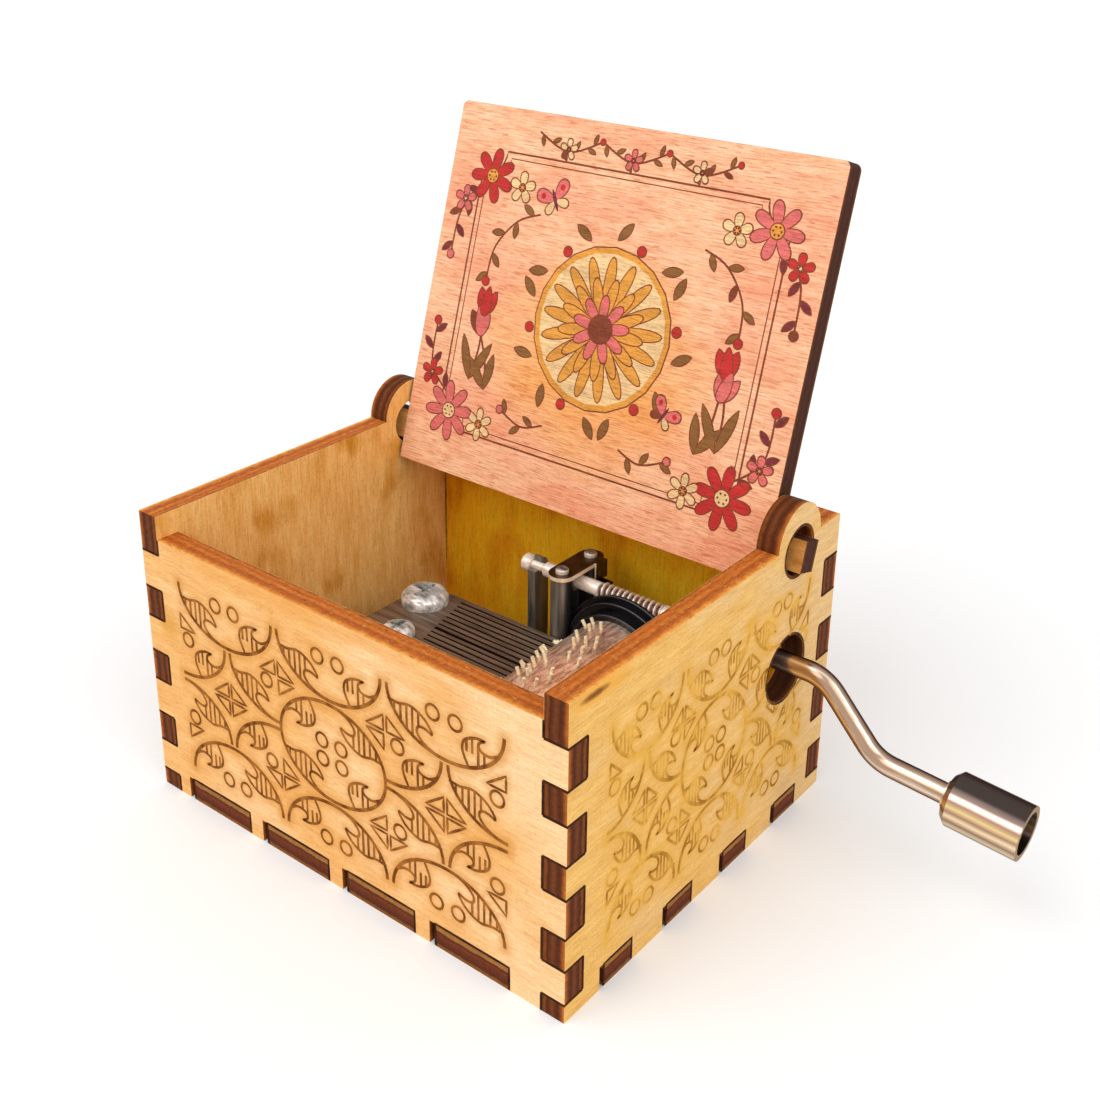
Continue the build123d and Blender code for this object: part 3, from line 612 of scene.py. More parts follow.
# Painted reflections of the ferrule, by how far each place faces its way.
FERRULE_REFLECTION_BANDS = colour_stops(
    (0.1, 72, 62, 58), (0.19, 110, 94, 88), (0.24, 236, 206, 190), (0.31, 178, 140, 122),
    (0.4, 238, 208, 144), (0.48, 168, 128, 112), (0.56, 246, 224, 184), (0.68, 154, 120, 104),
    (0.8, 250, 238, 204), (0.93, 180, 140, 100),
)
ROD_NICKEL = reflection_banded_nickel("rod_nickel_painted_reflection", (0.3, -0.86, 0.41), 0.12, ROD_REFLECTION_BANDS)
FERRULE_NICKEL = reflection_banded_nickel("ferrule_nickel_painted_reflection", (0.08, -0.1, -0.99), 0.05, FERRULE_REFLECTION_BANDS)
WORM = threaded_nickel()

WHEEL_PLASTIC = plastic("black_moulded_wheel", (16, 17, 24), 0.26, 0.32)
RIM_PLASTIC = plastic("polished_wheel_rim", (40, 40, 46), 0.16, 0.7)

FINISHES = {
    "front_panel": FRONT_WOOD,
    "right_side_panel": RIGHT_WOOD,
    "left_side_panel": LEFT_WOOD,
    "back_panel": BACK_WOOD,
    "bottom_panel": FLOOR_WOOD,
    "lid_panel": LID_WOOD,
    "movement_bedplate": CASTING,
    "comb": COMB_STEEL,
    "comb_weights": LEAD,
    "comb_screw_rear": ZINC,
    "comb_screw_front": ZINC,
    "movement_screws": ZINC,
    "shaft_strap": STRAP,
    "strap_rivets": RIVETS,
    "cylinder_drum": DRUM,
    "cylinder_pins": BRASS,
    "cylinder_cap_front": DRUM,
    "cylinder_cap_rear": DRUM,
    "cylinder_arbor": ARBOR,
    "worm_wheel": WHEEL_PLASTIC,
    "worm_shaft": WORM,
    "shaft_collar": WORM,
    "crank_rod": ROD_NICKEL,
    "crank_ferrule": FERRULE_NICKEL,
}
for node, finish in FINISHES.items():
    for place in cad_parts[node].material_slots:
        place.material = finish


# Lines burned into the case


def add_object(name, data):
    """A new object in the scene."""
    made = bpy.data.objects.new(name, data)
    bpy.context.scene.collection.objects.link(made)
    return made


def finished(bm, name, body, material):
    """The mesh as an object that rides on a body."""
    bmesh.ops.recalc_face_normals(bm, faces=bm.faces[:])
    mesh = bpy.data.meshes.new(name)
    bm.to_mesh(mesh)
    bm.free()
    piece = add_object(name, mesh)
    mesh.materials.append(material)
    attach(piece, body)
    return piece


class Drawing:
    """The lines of one face, in millimetres across and up from the face's origin."""

    def __init__(self):
        self.lines = []

    def line(self, points, width, heat=1.0):
        """Adds a line of this width; a hotter line scorches more of the wood."""
        self.lines.append((points, width, heat))

    def cut(self, centre, radius):
        """Ends every line at a round hole."""
        kept = []
        for points, width, heat in self.lines:
            run = []
            for point in dense(points, TRACE_STEP):
                if math.dist(point, centre) > radius:
                    run.append(point)
                    continue
                if len(run) > 1:
                    kept.append((run, width, heat))
                run = []
            if len(run) > 1:
                kept.append((run, width, heat))
        self.lines = kept


def dense(points, step):
    """The same line with points no further apart than step."""
    made = [points[0]]
    for start, end in zip(points, points[1:]):
        count = max(1, math.ceil(math.dist(start, end) / step))
        for k in range(1, count + 1):
            made.append(tuple(a + (b - a) * k / count for a, b in zip(start, end)))
    return made


def smooth(points, steps=5):
    """A curve through the points, with an even flow between them."""
    padded = [points[0]] + list(points) + [points[-1]]
    made = []
    for a, b, c, d in zip(padded, padded[1:], padded[2:], padded[3:]):
        for k in range(steps):
            t = k / steps
            made.append(tuple(
                q + 0.5 * t * (r - p + t * (2 * p - 5 * q + 4 * r - s + t * (3 * q - p - 3 * r + s)))
                for p, q, r, s in zip(a, b, c, d)
            ))
    return made + [tuple(points[-1])]


def away_from(point, reach, degrees):
    """The point this far off in this direction."""
    angle = math.radians(degrees)
    return (point[0] + reach * math.cos(angle), point[1] + reach * math.sin(angle))


def heading(start, end):
    """The direction from one point to another, in degrees."""
    return math.degrees(math.atan2(end[1] - start[1], end[0] - start[0]))


def ellipse(centre, reach, start, end, steps=24):
    """Part of an ellipse between two angles in degrees."""
    made = []
    for k in range(steps + 1):
        angle = math.radians(start + (end - start) * k / steps)
        made.append((centre[0] + reach[0] * math.cos(angle), centre[1] + reach[1] * math.sin(angle)))
    return made


def ribbon(bm, board, points, width, lift):
    """One line as a flat strip, an even grid bent to its course."""
    steps = len(points) - 1
    closed = math.dist(points[0], points[-1]) < 1e-6
    strip = bmesh.ops.create_grid(bm, x_segments=steps, y_segments=1, size=1.0)
    for vert in strip["verts"]:
        k = round((vert.co.x + 1) / 2 * steps)
        before = points[k - 1] if k else (points[-2] if closed else points[0])
        after = points[k + 1] if k < steps else (points[1] if closed else points[-1])
        away = Vector((before[1] - after[1], after[0] - before[0])).normalized()
        spot = Vector(points[k]) + away * vert.co.y * width / 2
        vert.co = board.place(spot.x, spot.y, lift)


def burned_lines(name, board, drawing, material, lift=LINE_LIFT):
    """Every line of a drawing as closed, barely raised strips, each a hair above the last."""
    bm = bmesh.new()
    for number, (points, width, _) in enumerate(drawing.lines):
        ribbon(bm, board, points, width, lift + number % LINE_STEPS * LINE_STEP)
    bmesh.ops.remove_doubles(bm, verts=bm.verts[:], dist=1e-8)
    bmesh.ops.recalc_face_normals(bm, faces=bm.faces[:])
    bmesh.ops.solidify(bm, geom=bm.faces[:], thickness=LINE_THICKNESS * MM)
    return finished(bm, name, "case", material)


def scorch(name, board, drawing, low, high, wood, hole=None):
    """The golden halo round the lines: a skin with the board's own wood, browned near each line."""
    samples = [(point, heat) for points, _, heat in drawing.lines for point in dense(points, TRACE_STEP)]
    nearest = KDTree(len(samples))
    for index, (point, _) in enumerate(samples):
        nearest.insert((point[0], point[1], 0), index)
    nearest.balance()
    bm = bmesh.new()
    cells = [round((high[k] - low[k]) / SCORCH_CELL) for k in (0, 1)]
    bmesh.ops.create_grid(bm, x_segments=cells[0], y_segments=cells[1], size=1.0)
    burn = bm.verts.layers.float.new("burn")
    lost = []
    for vert in bm.verts:
        across = low[0] + (vert.co.x + 1) / 2 * (high[0] - low[0])
        up = low[1] + (vert.co.y + 1) / 2 * (high[1] - low[1])
        _, index, gap = nearest.find((across, up, 0))
        heat = samples[index][1]
        vert[burn] = SCORCH_SHARE * min(1.0, heat) * math.exp(-((gap / (SCORCH_REACH * heat)) ** 2))
        edge = min(across - low[0], high[0] - across, up - low[1], high[1] - up)
        vert[burn] *= min(1.0, edge / SCORCH_CELL)
        vert.co = board.place(across, up, SCORCH_LIFT)
        if hole and math.dist((across, up), hole[0]) < hole[1]:
            lost.append(vert)
    bmesh.ops.delete(bm, geom=lost, context="VERTS")
    bmesh.ops.recalc_face_normals(bm, faces=bm.faces[:])
    bmesh.ops.solidify(bm, geom=bm.faces[:], thickness=SCORCH_LIFT * 2 * MM)
    return finished(bm, name, "case", wood)


# The two leaves that grow inside every hanging arc, in millimetres from the arc's lowest point
CURLED_LEAF = (
    (-7.9, 4.2), (-6.4, 4.1), (-4.9, 4.45), (-3.7, 4.2), (-2.55, 3.55), (-1.75, 2.6), (-1.7, 2.2),
    (-2.5, 2.5), (-3.4, 2.5), (-3.8, 2.0), (-3.55, 1.3), (-2.6, 0.55), (-1.3, 0.12),
)
CURLED_TIP = 6
CURLED_HATCHES = ((-6.95, 4.15), (-6.05, 4.15), (-5.2, 4.4), (-4.4, 4.4), (-3.55, 4.1))
HOODED_LEAF = (
    (3.3, 0.55), (2.7, 1.7), (2.45, 2.6), (2.7, 3.5), (3.5, 4.1), (4.5, 4.45), (5.5, 4.5),
    (4.8, 4.1), (4.65, 3.6), (5.1, 3.1), (6.2, 3.0), (7.3, 3.6),
)
HOODED_TIP = 6
HOODED_HATCHES = ((3.05, 3.8), (3.8, 4.25), (4.6, 3.6), (5.4, 3.05))
CURLED = (CURLED_LEAF, CURLED_TIP, CURLED_HATCHES)
HOODED = (HOODED_LEAF, HOODED_TIP, HOODED_HATCHES)
HATCH_SPLIT = (-3.6, 4.0)
KITE = (2.8, 2.15)
KITE_GAP = 0.24
RING_RADIUS = 0.9
BAND = 0.45

# Half the distance between the knots that the leaves were drawn for, and where hatching ends
DRAWN_PITCH = 8.45
HATCH_FLOOR = 2.4

# How hot each kind of line was burned
ARC_HEAT = 1.25
FINE_HEAT = 0.8
HATCH_HEAT = 0.7

# How far each pair of rings stands to the side and in height
TOP_RINGS = (1.55, 1.85)
OVAL_RINGS = (1.5, 1.2)
KNOT_RINGS = (1.75, 1.0)
EDGE_RINGS = (1.4, 1.05)


class Lattice:
    """The traditional ogee lattice of one face: hanging arcs, a middle oval, leaves, kites and rings."""

    def __init__(self, drawing, centre, half_pitch, row):
        self.drawing = drawing
        self.centre = centre
        self.half_pitch = half_pitch
        self.row = row
        self.squeeze = half_pitch / DRAWN_PITCH

    def add(self, points, width, heat=1.0):
        """A line given from the middle, and its twin half a turn round the middle."""
        for side in (1, -1):
            course = [(self.centre[0] + side * x, self.centre[1] + side * y) for x, y in points]
            self.drawing.line(course, width, heat)

    def arc_floor(self, x):
        """How high a hanging arc is at this place from its lowest point."""
        share = min(0.999, abs(x) / (self.half_pitch - BAND))
        return (self.row - BAND) * (1 - math.sqrt(1 - share * share))

    def leaf(self, outline, tip, hatches, foot):
        """A leaf with a sharp tip and upright hatching, on the arc whose lowest point is foot."""
        def at(point):
            return (foot[0] + point[0] * self.squeeze, foot[1] + point[1])

        course = smooth(outline[: tip + 1])[:-1] + smooth(outline[tip:])
        self.add([at(p) for p in course], LEAF_WIDTH, FINE_HEAT)
        for x, top in hatches:
            outer = x < HATCH_SPLIT[0] or x > HATCH_SPLIT[1]
            bottom = self.arc_floor(x * self.squeeze) if outer else HATCH_FLOOR
            self.add([at((x, bottom)), at((x, top))], HATCH_WIDTH, HATCH_HEAT)

    def arc(self, column, row, left=True, right=True):
        """A hanging arc or half of one, with its leaves."""
        centre = (column * self.half_pitch, row * self.row)
        reach = (self.half_pitch - BAND, self.row - BAND)
        start, end = (180 if left else 270), (360 if right else 270)
        self.add(ellipse(centre, reach, start, end, 28 if left and right else 14), ARC_WIDTH, ARC_HEAT)
        foot = (centre[0], centre[1] - reach[1])
        if left:
            self.leaf(*CURLED, foot)
        if right:
            self.leaf(*HOODED, foot)

    def kite(self, column, row, quarters):
        """Triangles in some quarters of a lattice knot."""
        middle = (column * self.half_pitch, row * self.row)
        wide, tall = KITE[0] * self.squeeze, KITE[1]
        for sx, sy in quarters:
            corner = (middle[0] + sx * KITE_GAP, middle[1] + sy * KITE_GAP)
            side = (middle[0] + sx * wide, corner[1])
            peak = (corner[0], middle[1] + sy * tall)
            self.add(dense([corner, side, peak, corner], 0.8), RING_WIDTH, FINE_HEAT)

    def ring(self, x, y):
        """A small circle."""
        self.add(ellipse((x, y), (RING_RADIUS, RING_RADIUS), 0, 360, 20), RING_WIDTH, FINE_HEAT)

    def draw(self, outer):
        """The lattice out to this column: its upper half, which add() turns into the lower one too."""
        for column in range(-outer + 1, outer, 2):
            self.arc(column, 2)
            for side in (-1, 1):
                x = column * self.half_pitch + side * TOP_RINGS[0] * self.squeeze
                self.ring(x, TOP_RINGS[1] * self.row)
        self.arc(-outer, 1, left=False)
        self.arc(-1, 1, right=False)
        self.arc(1, 1, left=False)
        self.arc(outer, 1, right=False)
        oval = (self.half_pitch - 0.2, self.row - 0.1)
        self.add(ellipse((0, 0), oval, 180, 360, 32), ARC_WIDTH, ARC_HEAT)
        foot = (0, -oval[1])
        self.leaf(*CURLED, foot)
        self.leaf(*HOODED, foot)
        for side in (-1, 1):
            self.ring(side * OVAL_RINGS[0] * self.squeeze, OVAL_RINGS[1])
            x = side * self.half_pitch
            self.kite(side, 1, ((-1, 1), (1, 1), (-side, -1)))
            self.ring(x + side * KNOT_RINGS[0] * self.squeeze, self.row - KNOT_RINGS[1])
            self.kite(side * outer, 1, ((-side, 1),))
            x = side * outer * self.half_pitch - side * EDGE_RINGS[0] * self.squeeze
            self.ring(x, self.row - EDGE_RINGS[1])
        self.kite(2, 0, ((1, 1), (1, -1), (-1, 1), (-1, -1)))


OUTER_COLUMN = 3
SCORCH_MARGIN = 1.2


def lattice_face(name, board, centre, half_pitch, row, wood, char, hole=None):
    """The burned lattice of one face."""
    drawing = Drawing()
    Lattice(drawing, centre, half_pitch, row).draw(OUTER_COLUMN)
    if hole:
        drawing.cut(hole[0], hole[1] + ARC_WIDTH / 2)
    spread = (half_pitch * OUTER_COLUMN + SCORCH_MARGIN, row * 2 + SCORCH_MARGIN)
    low = (centre[0] - spread[0], centre[1] - spread[1])
    high = (centre[0] + spread[0], centre[1] + spread[1])
    hole_edge = (hole[0], hole[1] + SCORCH_CELL) if hole else None
    scorch(f"{name}_scorch", board, drawing, low, high, wood, hole_edge)
    burned_lines(f"{name}_engraving", board, drawing, char)


LONG_LATTICE = (8.45, 6.4)
SHORT_LATTICE = (6.6, 6.56)
lattice_face("front", FRONT_FACE, (-0.75, 18.0), *LONG_LATTICE, FRONT_WOOD, FRONT_CHAR)
lattice_face("back", BACK_FACE, (0.0, 18.0), *LONG_LATTICE, BACK_WOOD, FRONT_CHAR)
lattice_face("left", LEFT_FACE, (0.0, 19.0), *SHORT_LATTICE, LEFT_WOOD, FRONT_CHAR)
CRANK_BORE = (CRANK_HOLE, CRANK_HOLE_RADIUS)
lattice_face("right", RIGHT_FACE, (0.35, 18.95), *SHORT_LATTICE, RIGHT_WOOD, RIGHT_CHAR, CRANK_BORE)


# Charred seams of the finger joints

SEAM_WIDTH = 0.32
HALF_WIDTH = RIGHT[1].x / MM
HALF_DEPTH = BACK[1].y / MM
BOARD = PLY / MM


def seam_drawing(half, top, notch, pitch, shift, slack, owned_here):
    """The joint lines of one face; owned_here picks which fingers are this face's own board."""
    drawing = Drawing()
    levels = [level for level in FINGER_LEVELS if level < top] + [top]
    for side in (-1, 1):
        for level in levels[:-2]:
            if level > 0:
                drawing.line(dense([(side * half, level), (side * (half - BOARD), level)], 1.0), SEAM_WIDTH)
        for index, (high, low) in enumerate(zip(FINGER_LEVELS, FINGER_LEVELS[1:])):
            if index % 2 != owned_here and low < top:
                x = side * (half - BOARD)
                drawing.line(dense([(x, low), (x, min(high, top))], 2.0), SEAM_WIDTH)
    first = shift - pitch * (NOTCHES - 1) / 2
    for index in range(NOTCHES):
        start = first + index * pitch - notch / 2 + slack
        end = first + index * pitch + notch / 2
        drawing.line(dense([(start, 0.1), (start, BOARD), (end, BOARD), (end, 0.1)], 1.5), SEAM_WIDTH)
    return drawing


for name, board, top, notches, owner in (
    ("front", FRONT_FACE, FRONT[1].z / MM, FRONT_NOTCHES, 1),
    ("back", BACK_FACE, WALL_TOP, BACK_NOTCHES, 1),
    ("right", RIGHT_FACE, WALL_TOP, SIDE_NOTCHES, 0),
    ("left", LEFT_FACE, WALL_TOP, SIDE_NOTCHES, 0),
):
    half = HALF_WIDTH if owner else HALF_DEPTH
    burned_lines(f"{name}_seams", board, seam_drawing(half, top, *notches, owner), SEAM_CHAR, SEAM_LIFT)


# Darkened rims round the crank hole and the two hinge holes

RIM_WIDTH = 0.34
for name, board, centre, radius in (
    ("crank_hole", RIGHT_FACE, CRANK_HOLE, CRANK_HOLE_RADIUS),
    ("right_ear_hole", RIGHT_FACE, HINGE_HOLE, HINGE_HOLE_RADIUS),
    ("left_ear_hole", LEFT_FACE, (-HINGE_HOLE[0], HINGE_HOLE[1]), HINGE_HOLE_RADIUS),
):
    rim = Drawing()
    reach = radius + RIM_WIDTH / 2
    rim.line(ellipse(centre, (reach, reach), 0, 360, 64), RIM_WIDTH)
    burned_lines(f"{name}_rim", board, rim, HOLE_CHAR, RIM_LIFT)


# Rounded rims on the steps of the moulded wheel

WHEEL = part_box("worm_wheel")
WHEEL_MIDDLE = Vector(((WHEEL[0].x + WHEEL[1].x) / 2, 0, (WHEEL[0].z + WHEEL[1].z) / 2))

# Each ring's radius, its place along Y and its own thickness
WHEEL_RIMS = ((7.34, 11.34, 0.15), (8.42, 12.48, 0.14), (9.12, 13.28, 0.14))


def wheel_rims():
    """One rounded ring on the front edge of each step, spun from a small circle."""
    bm = bmesh.new()
    for radius, front, thickness in WHEEL_RIMS:
        made = bmesh.ops.create_circle(bm, segments=10, radius=thickness * MM)
        place = WHEEL_MIDDLE + Vector((radius * MM, front * MM, 0))
        bmesh.ops.translate(bm, verts=made["verts"], vec=place)
        edges = list({edge for vert in made["verts"] for edge in vert.link_edges})
        bmesh.ops.spin(
            bm,
            geom=made["verts"] + edges,
            cent=WHEEL_MIDDLE,
            axis=(0, 1, 0),
            angle=math.tau,
            steps=120,
            use_merge=True,
        )
    return finished(bm, "wheel_rims", "cylinder", RIM_PLASTIC)


for polygon in wheel_rims().data.polygons:
    polygon.use_smooth = True


# Printed flowers on the lid's inner face

PRINT_LIFT = 0.012
PRINT_LAYER = 0.006
PRINT_STEP = 0.0004
PRINT_THICKNESS = 0.02
PRINT_STEPS = 14
INK_OUTLINE = 0.17
INK_TONES = (1.0, 0.87, 0.66)


def ink(name, colour):
    """Printing ink that lets the lid's grain show through."""
    material, tree, shader = new_finish(name, WOOD_ROUGHNESS, gloss=WOOD_GLOSS)
    spot = board_spot(tree, LID_FACE)
    tones = [[value * share for value in colour] for share in INK_TONES]
    plug(shader.inputs["Base Color"], veneer(spot, tones, lines=0.9, pores=0.55))
    return material


INKS = {
    "brown": ink("brown_ink", (142, 74, 50)),
    "red": ink("red_ink", (208, 58, 56)),
    "pink": ink("pink_ink", (236, 122, 118)),
    "cream": ink("cream_ink", (254, 216, 160)),
    "olive": ink("olive_ink", (150, 104, 58)),
    "gold": ink("gold_ink", (240, 168, 76)),
    "plum": ink("plum_ink", (132, 58, 62)),
}

# How wide a printed form is, from its root at the left to its tip at the right
FORMS = {
    "disc": math.sin,
    "petal": lambda angle: math.sin(angle) * (0.8 + 0.3 * math.cos(angle)),
    "leaf": lambda angle: math.sin(angle) * abs(math.sin(angle)) ** 0.7,
    "bud": lambda angle: math.sin(angle) * (0.85 - 0.3 * math.cos(angle)),
}


class Print:
    """Flat printed forms on the lid, gathered by ink and stacked in layers."""

    def __init__(self):
        self.inks = {name: bmesh.new() for name in INKS}
        self.count = 0

    def lift(self, layer):
        """The height of a form: its layer, and a hair more than the last form."""
        self.count += 1
        return PRINT_LIFT + layer * PRINT_LAYER + self.count % PRINT_STEPS * PRINT_STEP

    def form(self, ink_name, root, length, width, turn, kind="petal", layer=1, outlined=True):
        """A petal, leaf, bud or disc that grows from its root at this angle in degrees."""
        if outlined:
            self.form("brown", root, length, width, turn, kind, layer - 0.5, False)
            root = away_from(root, INK_OUTLINE * 0.9, turn)
            length -= 2 * INK_OUTLINE
            width -= 2 * INK_OUTLINE
        bm = self.inks[ink_name]
        lift = self.lift(layer)
        made = bmesh.ops.create_circle(bm, cap_ends=True, segments=20, radius=1.0)
        way = Vector((math.cos(math.radians(turn)), math.sin(math.radians(turn))))
        for vert in made["verts"]:
            angle = math.atan2(vert.co.y, vert.co.x)
            along = (1 + math.cos(angle)) * length / 2
            aside = FORMS[kind](angle) * width / 2
            spot = Vector(root) + way * along + Vector((-way.y, way.x)) * aside
            vert.co = LID_FACE.place(spot.x, spot.y, lift)

    def disc(self, ink_name, centre, radius, layer=2, outlined=True):
        """A round form."""
        root = (centre[0] - radius, centre[1])
        self.form(ink_name, root, radius * 2, radius * 2, 0, "disc", layer, outlined)

    def stroke(self, ink_name, points, width, layer=0):
        """A drawn line."""
        ribbon(self.inks[ink_name], LID_FACE, points, width, self.lift(layer))

    def blossom(self, centre, reach, petals, petal_ink, middle_ink="gold", start=90.0, layer=2):
        """A round flower seen from the front, with a dotted middle."""
        width = 2.3 * math.pi * reach / petals * 0.52
        for index in range(petals):
            self.form(petal_ink, centre, reach, width, start + 360 * index / petals, "petal", layer)
        self.disc(middle_ink, centre, reach * 0.28, layer + 1.5)
        for index in range(6):
            self.disc("plum", away_from(centre, reach * 0.15, 60 * index), 0.14, layer + 2.5, False)

    def sprig(self, points, leaves, size, leaf_ink, berry):
        """A curved stem with leaves to both sides and a berry at its end."""
        course = smooth(points, 6)
        self.stroke("brown", course, 0.26)
        for index in range(leaves):
            place = round((index + 0.7) / leaves * (len(course) - 2))
            turn = heading(course[place], course[place + 1]) + (48 if index % 2 else -48)
            self.form(leaf_ink, course[place], size, size * 0.46, turn, "leaf", 1)
        self.disc(berry, course[-1], size * 0.3, 2)

    def tulip(self, foot, height, lean, colour):
        """A tulip with a curved stem and two long leaves."""
        head = away_from(foot, height, 90 + lean)
        bend = ((foot[0] + head[0]) / 2 + 0.5, (foot[1] + head[1]) / 2)
        self.stroke("brown", smooth((foot, bend, head), 6), 0.3)
        for side in (-1, 1):
            self.form("olive", foot, height * 0.72, 1.5, 90 + lean + side * 24, "leaf", 1)
            self.form(colour, head, 4.0, 1.9, 90 + lean + side * 20, "leaf", 2)
        self.form(colour, head, 4.1, 2.1, 90 + lean, "bud", 3)

    def butterfly(self, centre, size, turn):
        """A small butterfly with four wings."""
        for side in (-1, 1):
            self.form("pink", centre, size, size * 0.72, turn + side * 52, "petal", 3)
            self.form("cream", centre, size * 0.7, size * 0.5, turn + side * 122, "petal", 2.4)
            spot = away_from(centre, size * 0.62, turn + side * 52)
            self.disc("red", spot, size * 0.12, 4, False)
        tail = away_from(centre, size * 0.45, turn + 180)
        self.form("plum", tail, size * 0.95, size * 0.17, turn, "leaf", 4.5, False)

    def finish(self):
        """One closed piece for each ink."""
        for name, bm in self.inks.items():
            bmesh.ops.solidify(bm, geom=bm.faces[:], thickness=PRINT_THICKNESS * MM)
            finished(bm, f"lid_print_{name}", "lid", INKS[name])


def frame_line(half, low, high, radius):
    """A rectangle with scooped corners."""
    points = []
    for cx, cy, start in ((half, high, 270), (-half, high, 360), (-half, low, 450), (half, low, 540)):
        points += ellipse((cx, cy), (radius, radius), start, start - 90, 7)
    return dense(points + points[:1], 3.0)


def lid_print():
    """A flower medallion in a scooped frame, with corner flowers, side tulips and a top garland."""
    page = Print()
    page.stroke("brown", frame_line(23.2, 1.4, 38.6, 3.6), 0.24)
    page.stroke("brown", frame_line(22.4, 2.2, 37.8, 3.6), 0.14)
    middle = (0.0, 19.2)
    page.disc("gold", middle, 10.4, 0.5)
    page.disc("cream", middle, 9.5, 1.2, False)
    page.blossom(middle, 9.2, 17, "gold", layer=3)
    page.blossom(middle, 6.6, 13, "gold", start=80, layer=5)
    page.blossom(middle, 4.4, 9, "pink", "brown", layer=7)
    page.disc("brown", middle, 1.9, 9)
    for index in range(18):
        angle = 20 * index + 10
        root = away_from(middle, 11.1, angle)
        if index % 3:
            page.form("olive", root, 3.2, 1.4, angle + (38 if index % 2 else -38), "leaf", 1)
        else:
            page.disc("red", root, 0.75, 2)
    for side, near, far in ((-1, "red", "pink"), (1, "pink", "red")):
        page.tulip((side * 16.5, 7.6), 7.0, -side * 16, "pink")
        page.tulip((side * 19.3, 8.4), 8.6, side * 4, "red")
        upper = ((side * 12.5, 31.5), (side * 16.0, 30.0), (side * 18.9, 26.2), (side * 19.4, 21.6))
        page.sprig(upper, 5, 2.3, "olive", "red")
        page.sprig(((side * 6.0, 5.4), (side * 9.4, 4.4), (side * 13.2, 5.8)), 3, 2.1, "olive", "pink")
        page.sprig(((side * 21.8, 33.4), (side * 25.6, 30.2), (side * 26.2, 24.0)), 5, 2.3, "plum", "pink")
        page.sprig(((side * 21.8, 5.4), (side * 25.8, 9.0), (side * 26.2, 15.0)), 5, 2.3, "plum", "red")
        page.blossom((side * 21.4, 35.2), 3.7, 7, near, start=90 + side * 9)
        page.blossom((side * 16.2, 34.4), 2.2, 5, "cream")
        page.blossom((side * 25.3, 31.6), 1.9, 5, far, "cream")
        page.blossom((side * 21.6, 3.6), 4.1, 8, far, "cream", start=90 - side * 7)
        page.blossom((side * 16.2, 3.0), 2.3, 6, "cream")
        page.blossom((side * 25.6, 8.0), 1.9, 5, near)
    for start, end in ((-15.0, -5.0), (-5.0, 5.0), (5.0, 15.0)):
        low = ((start + end) / 2, 39.9)
        page.sprig(((start, 41.8), low, (end, 41.8)), 6, 1.6, "olive", "red")
        petal_ink = "cream" if low[0] else "pink"
        page.blossom((low[0], low[1] + 0.3), 1.5, 5, petal_ink, layer=3)
    page.butterfly((-10.6, 33.6), 3.2, 118)
    page.butterfly((11.4, 11.0), 2.7, 60)
    page.finish()


lid_print()


# Stage: pale floor, soft light and the photograph's camera

FOCAL = 1450.795
PICTURE = 1100
LENS_CENTRE = (580, 400)
EYE = Vector((101.512, -116.295, 112.743)) * MM
AZIMUTH = math.radians(37.3543)
ELEVATION = math.radians(21.4151)
ROLL = math.radians(-1.0495)
SKY_SIDE = 1.02
SKY_TOP = 0.62
FLOOR_GLOW = 0.07
FLOOR_TONE = (0.88, 0.892, 0.908, 1.0)
SUN_TONE = (1.0, 0.99, 0.97)
SUN_SPREAD = 50.0


def set_camera():
    """The camera at the photograph's place."""
    data = bpy.data.cameras.new("photo_camera")
    data.sensor_width = 36.0
    data.lens = FOCAL / PICTURE * data.sensor_width
    data.shift_x = (PICTURE / 2 - LENS_CENTRE[0]) / PICTURE
    data.shift_y = (LENS_CENTRE[1] - PICTURE / 2) / PICTURE
    data.clip_start = 0.01
    data.clip_end = 10.0
    camera = add_object("photo_camera", data)
    forward = Vector((
        -math.sin(AZIMUTH) * math.cos(ELEVATION),
        math.cos(AZIMUTH) * math.cos(ELEVATION),
        -math.sin(ELEVATION),
    ))
    level = Vector((math.cos(AZIMUTH), math.sin(AZIMUTH), 0))
    down = forward.cross(level)
    right = level * math.cos(ROLL) + down * math.sin(ROLL)
    up = -(down * math.cos(ROLL) - level * math.sin(ROLL))
    turn = Matrix((right, up, -forward)).transposed().to_4x4()
    camera.matrix_world = Matrix.Translation(EYE) @ turn
    bpy.context.scene.camera = camera


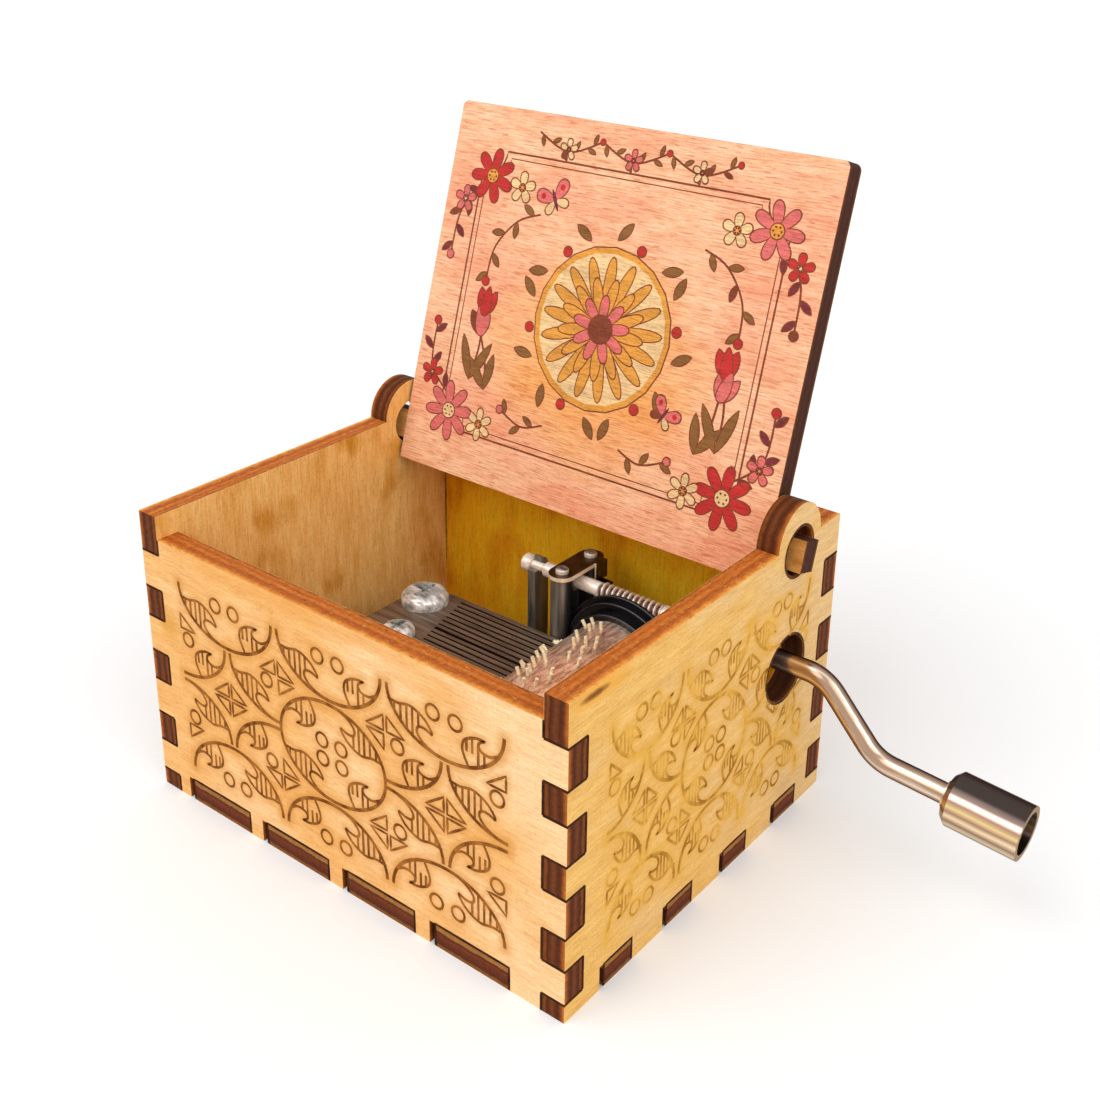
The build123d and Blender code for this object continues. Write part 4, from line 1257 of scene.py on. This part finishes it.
def soft_sun(name, place, strength):
    """A wide soft light that shines from this direction on the origin."""
    data = bpy.data.lights.new(name, "SUN")
    data.energy = strength
    data.angle = math.radians(SUN_SPREAD)
    data.color = SUN_TONE
    lamp = add_object(name, data)
    lamp.rotation_euler = Vector(place).to_track_quat("Z", "Y").to_euler()


def seen_directly(tree):
    """One for rays from the camera, off gloss and through glass, and zero for all others."""
    rays = tree.nodes.new("ShaderNodeLightPath")
    seen = calc("MAXIMUM", rays.outputs["Is Camera Ray"], rays.outputs["Is Glossy Ray"])
    return calc("MAXIMUM", seen, rays.outputs["Is Transmission Ray"])


def pale_floor():
    """A white floor that keeps the object's shadow."""
    bm = bmesh.new()
    bmesh.ops.create_circle(bm, cap_ends=True, segments=64, radius=40.0)
    mesh = bpy.data.meshes.new("floor")
    bm.to_mesh(mesh)
    bm.free()
    floor = add_object("floor", mesh)
    material, tree, shader = new_finish("white_floor", 0.9, gloss=0.0)
    shader.inputs["Base Color"].default_value = FLOOR_TONE
    glow = tree.nodes.new("ShaderNodeEmission")
    plug(glow.inputs["Strength"], calc("MULTIPLY", seen_directly(tree), FLOOR_GLOW))
    total = tree.nodes.new("ShaderNodeAddShader")
    plug(total.inputs[0], shader.outputs[0])
    plug(total.inputs[1], glow.outputs[0])
    plug(tree.nodes["Material Output"].inputs["Surface"], total.outputs[0])
    mesh.materials.append(material)


def white_world():
    """Soft light from all round, weaker from straight above, and plain white to the camera."""
    world = bpy.data.worlds.new("studio")
    bpy.context.scene.world = world
    world.use_nodes = True
    tree = world.node_tree
    sky = tree.nodes["Background"]
    sky.inputs["Color"].default_value = WHITE
    way = tree.nodes.new("ShaderNodeTexCoord").outputs["Generated"]
    dome = rescale(split(way)[2], 0.1, 0.9, SKY_SIDE, SKY_TOP)
    plug(sky.inputs["Strength"], calc("MAXIMUM", dome, seen_directly(tree)))


bpy.context.scene.view_settings.view_transform = "Standard"
white_world()
pale_floor()
soft_sun("key_sun", (-0.25, -0.6, 0.75), 1.05)
soft_sun("side_sun", (0.8, -0.3, 0.6), 0.88)
set_camera()
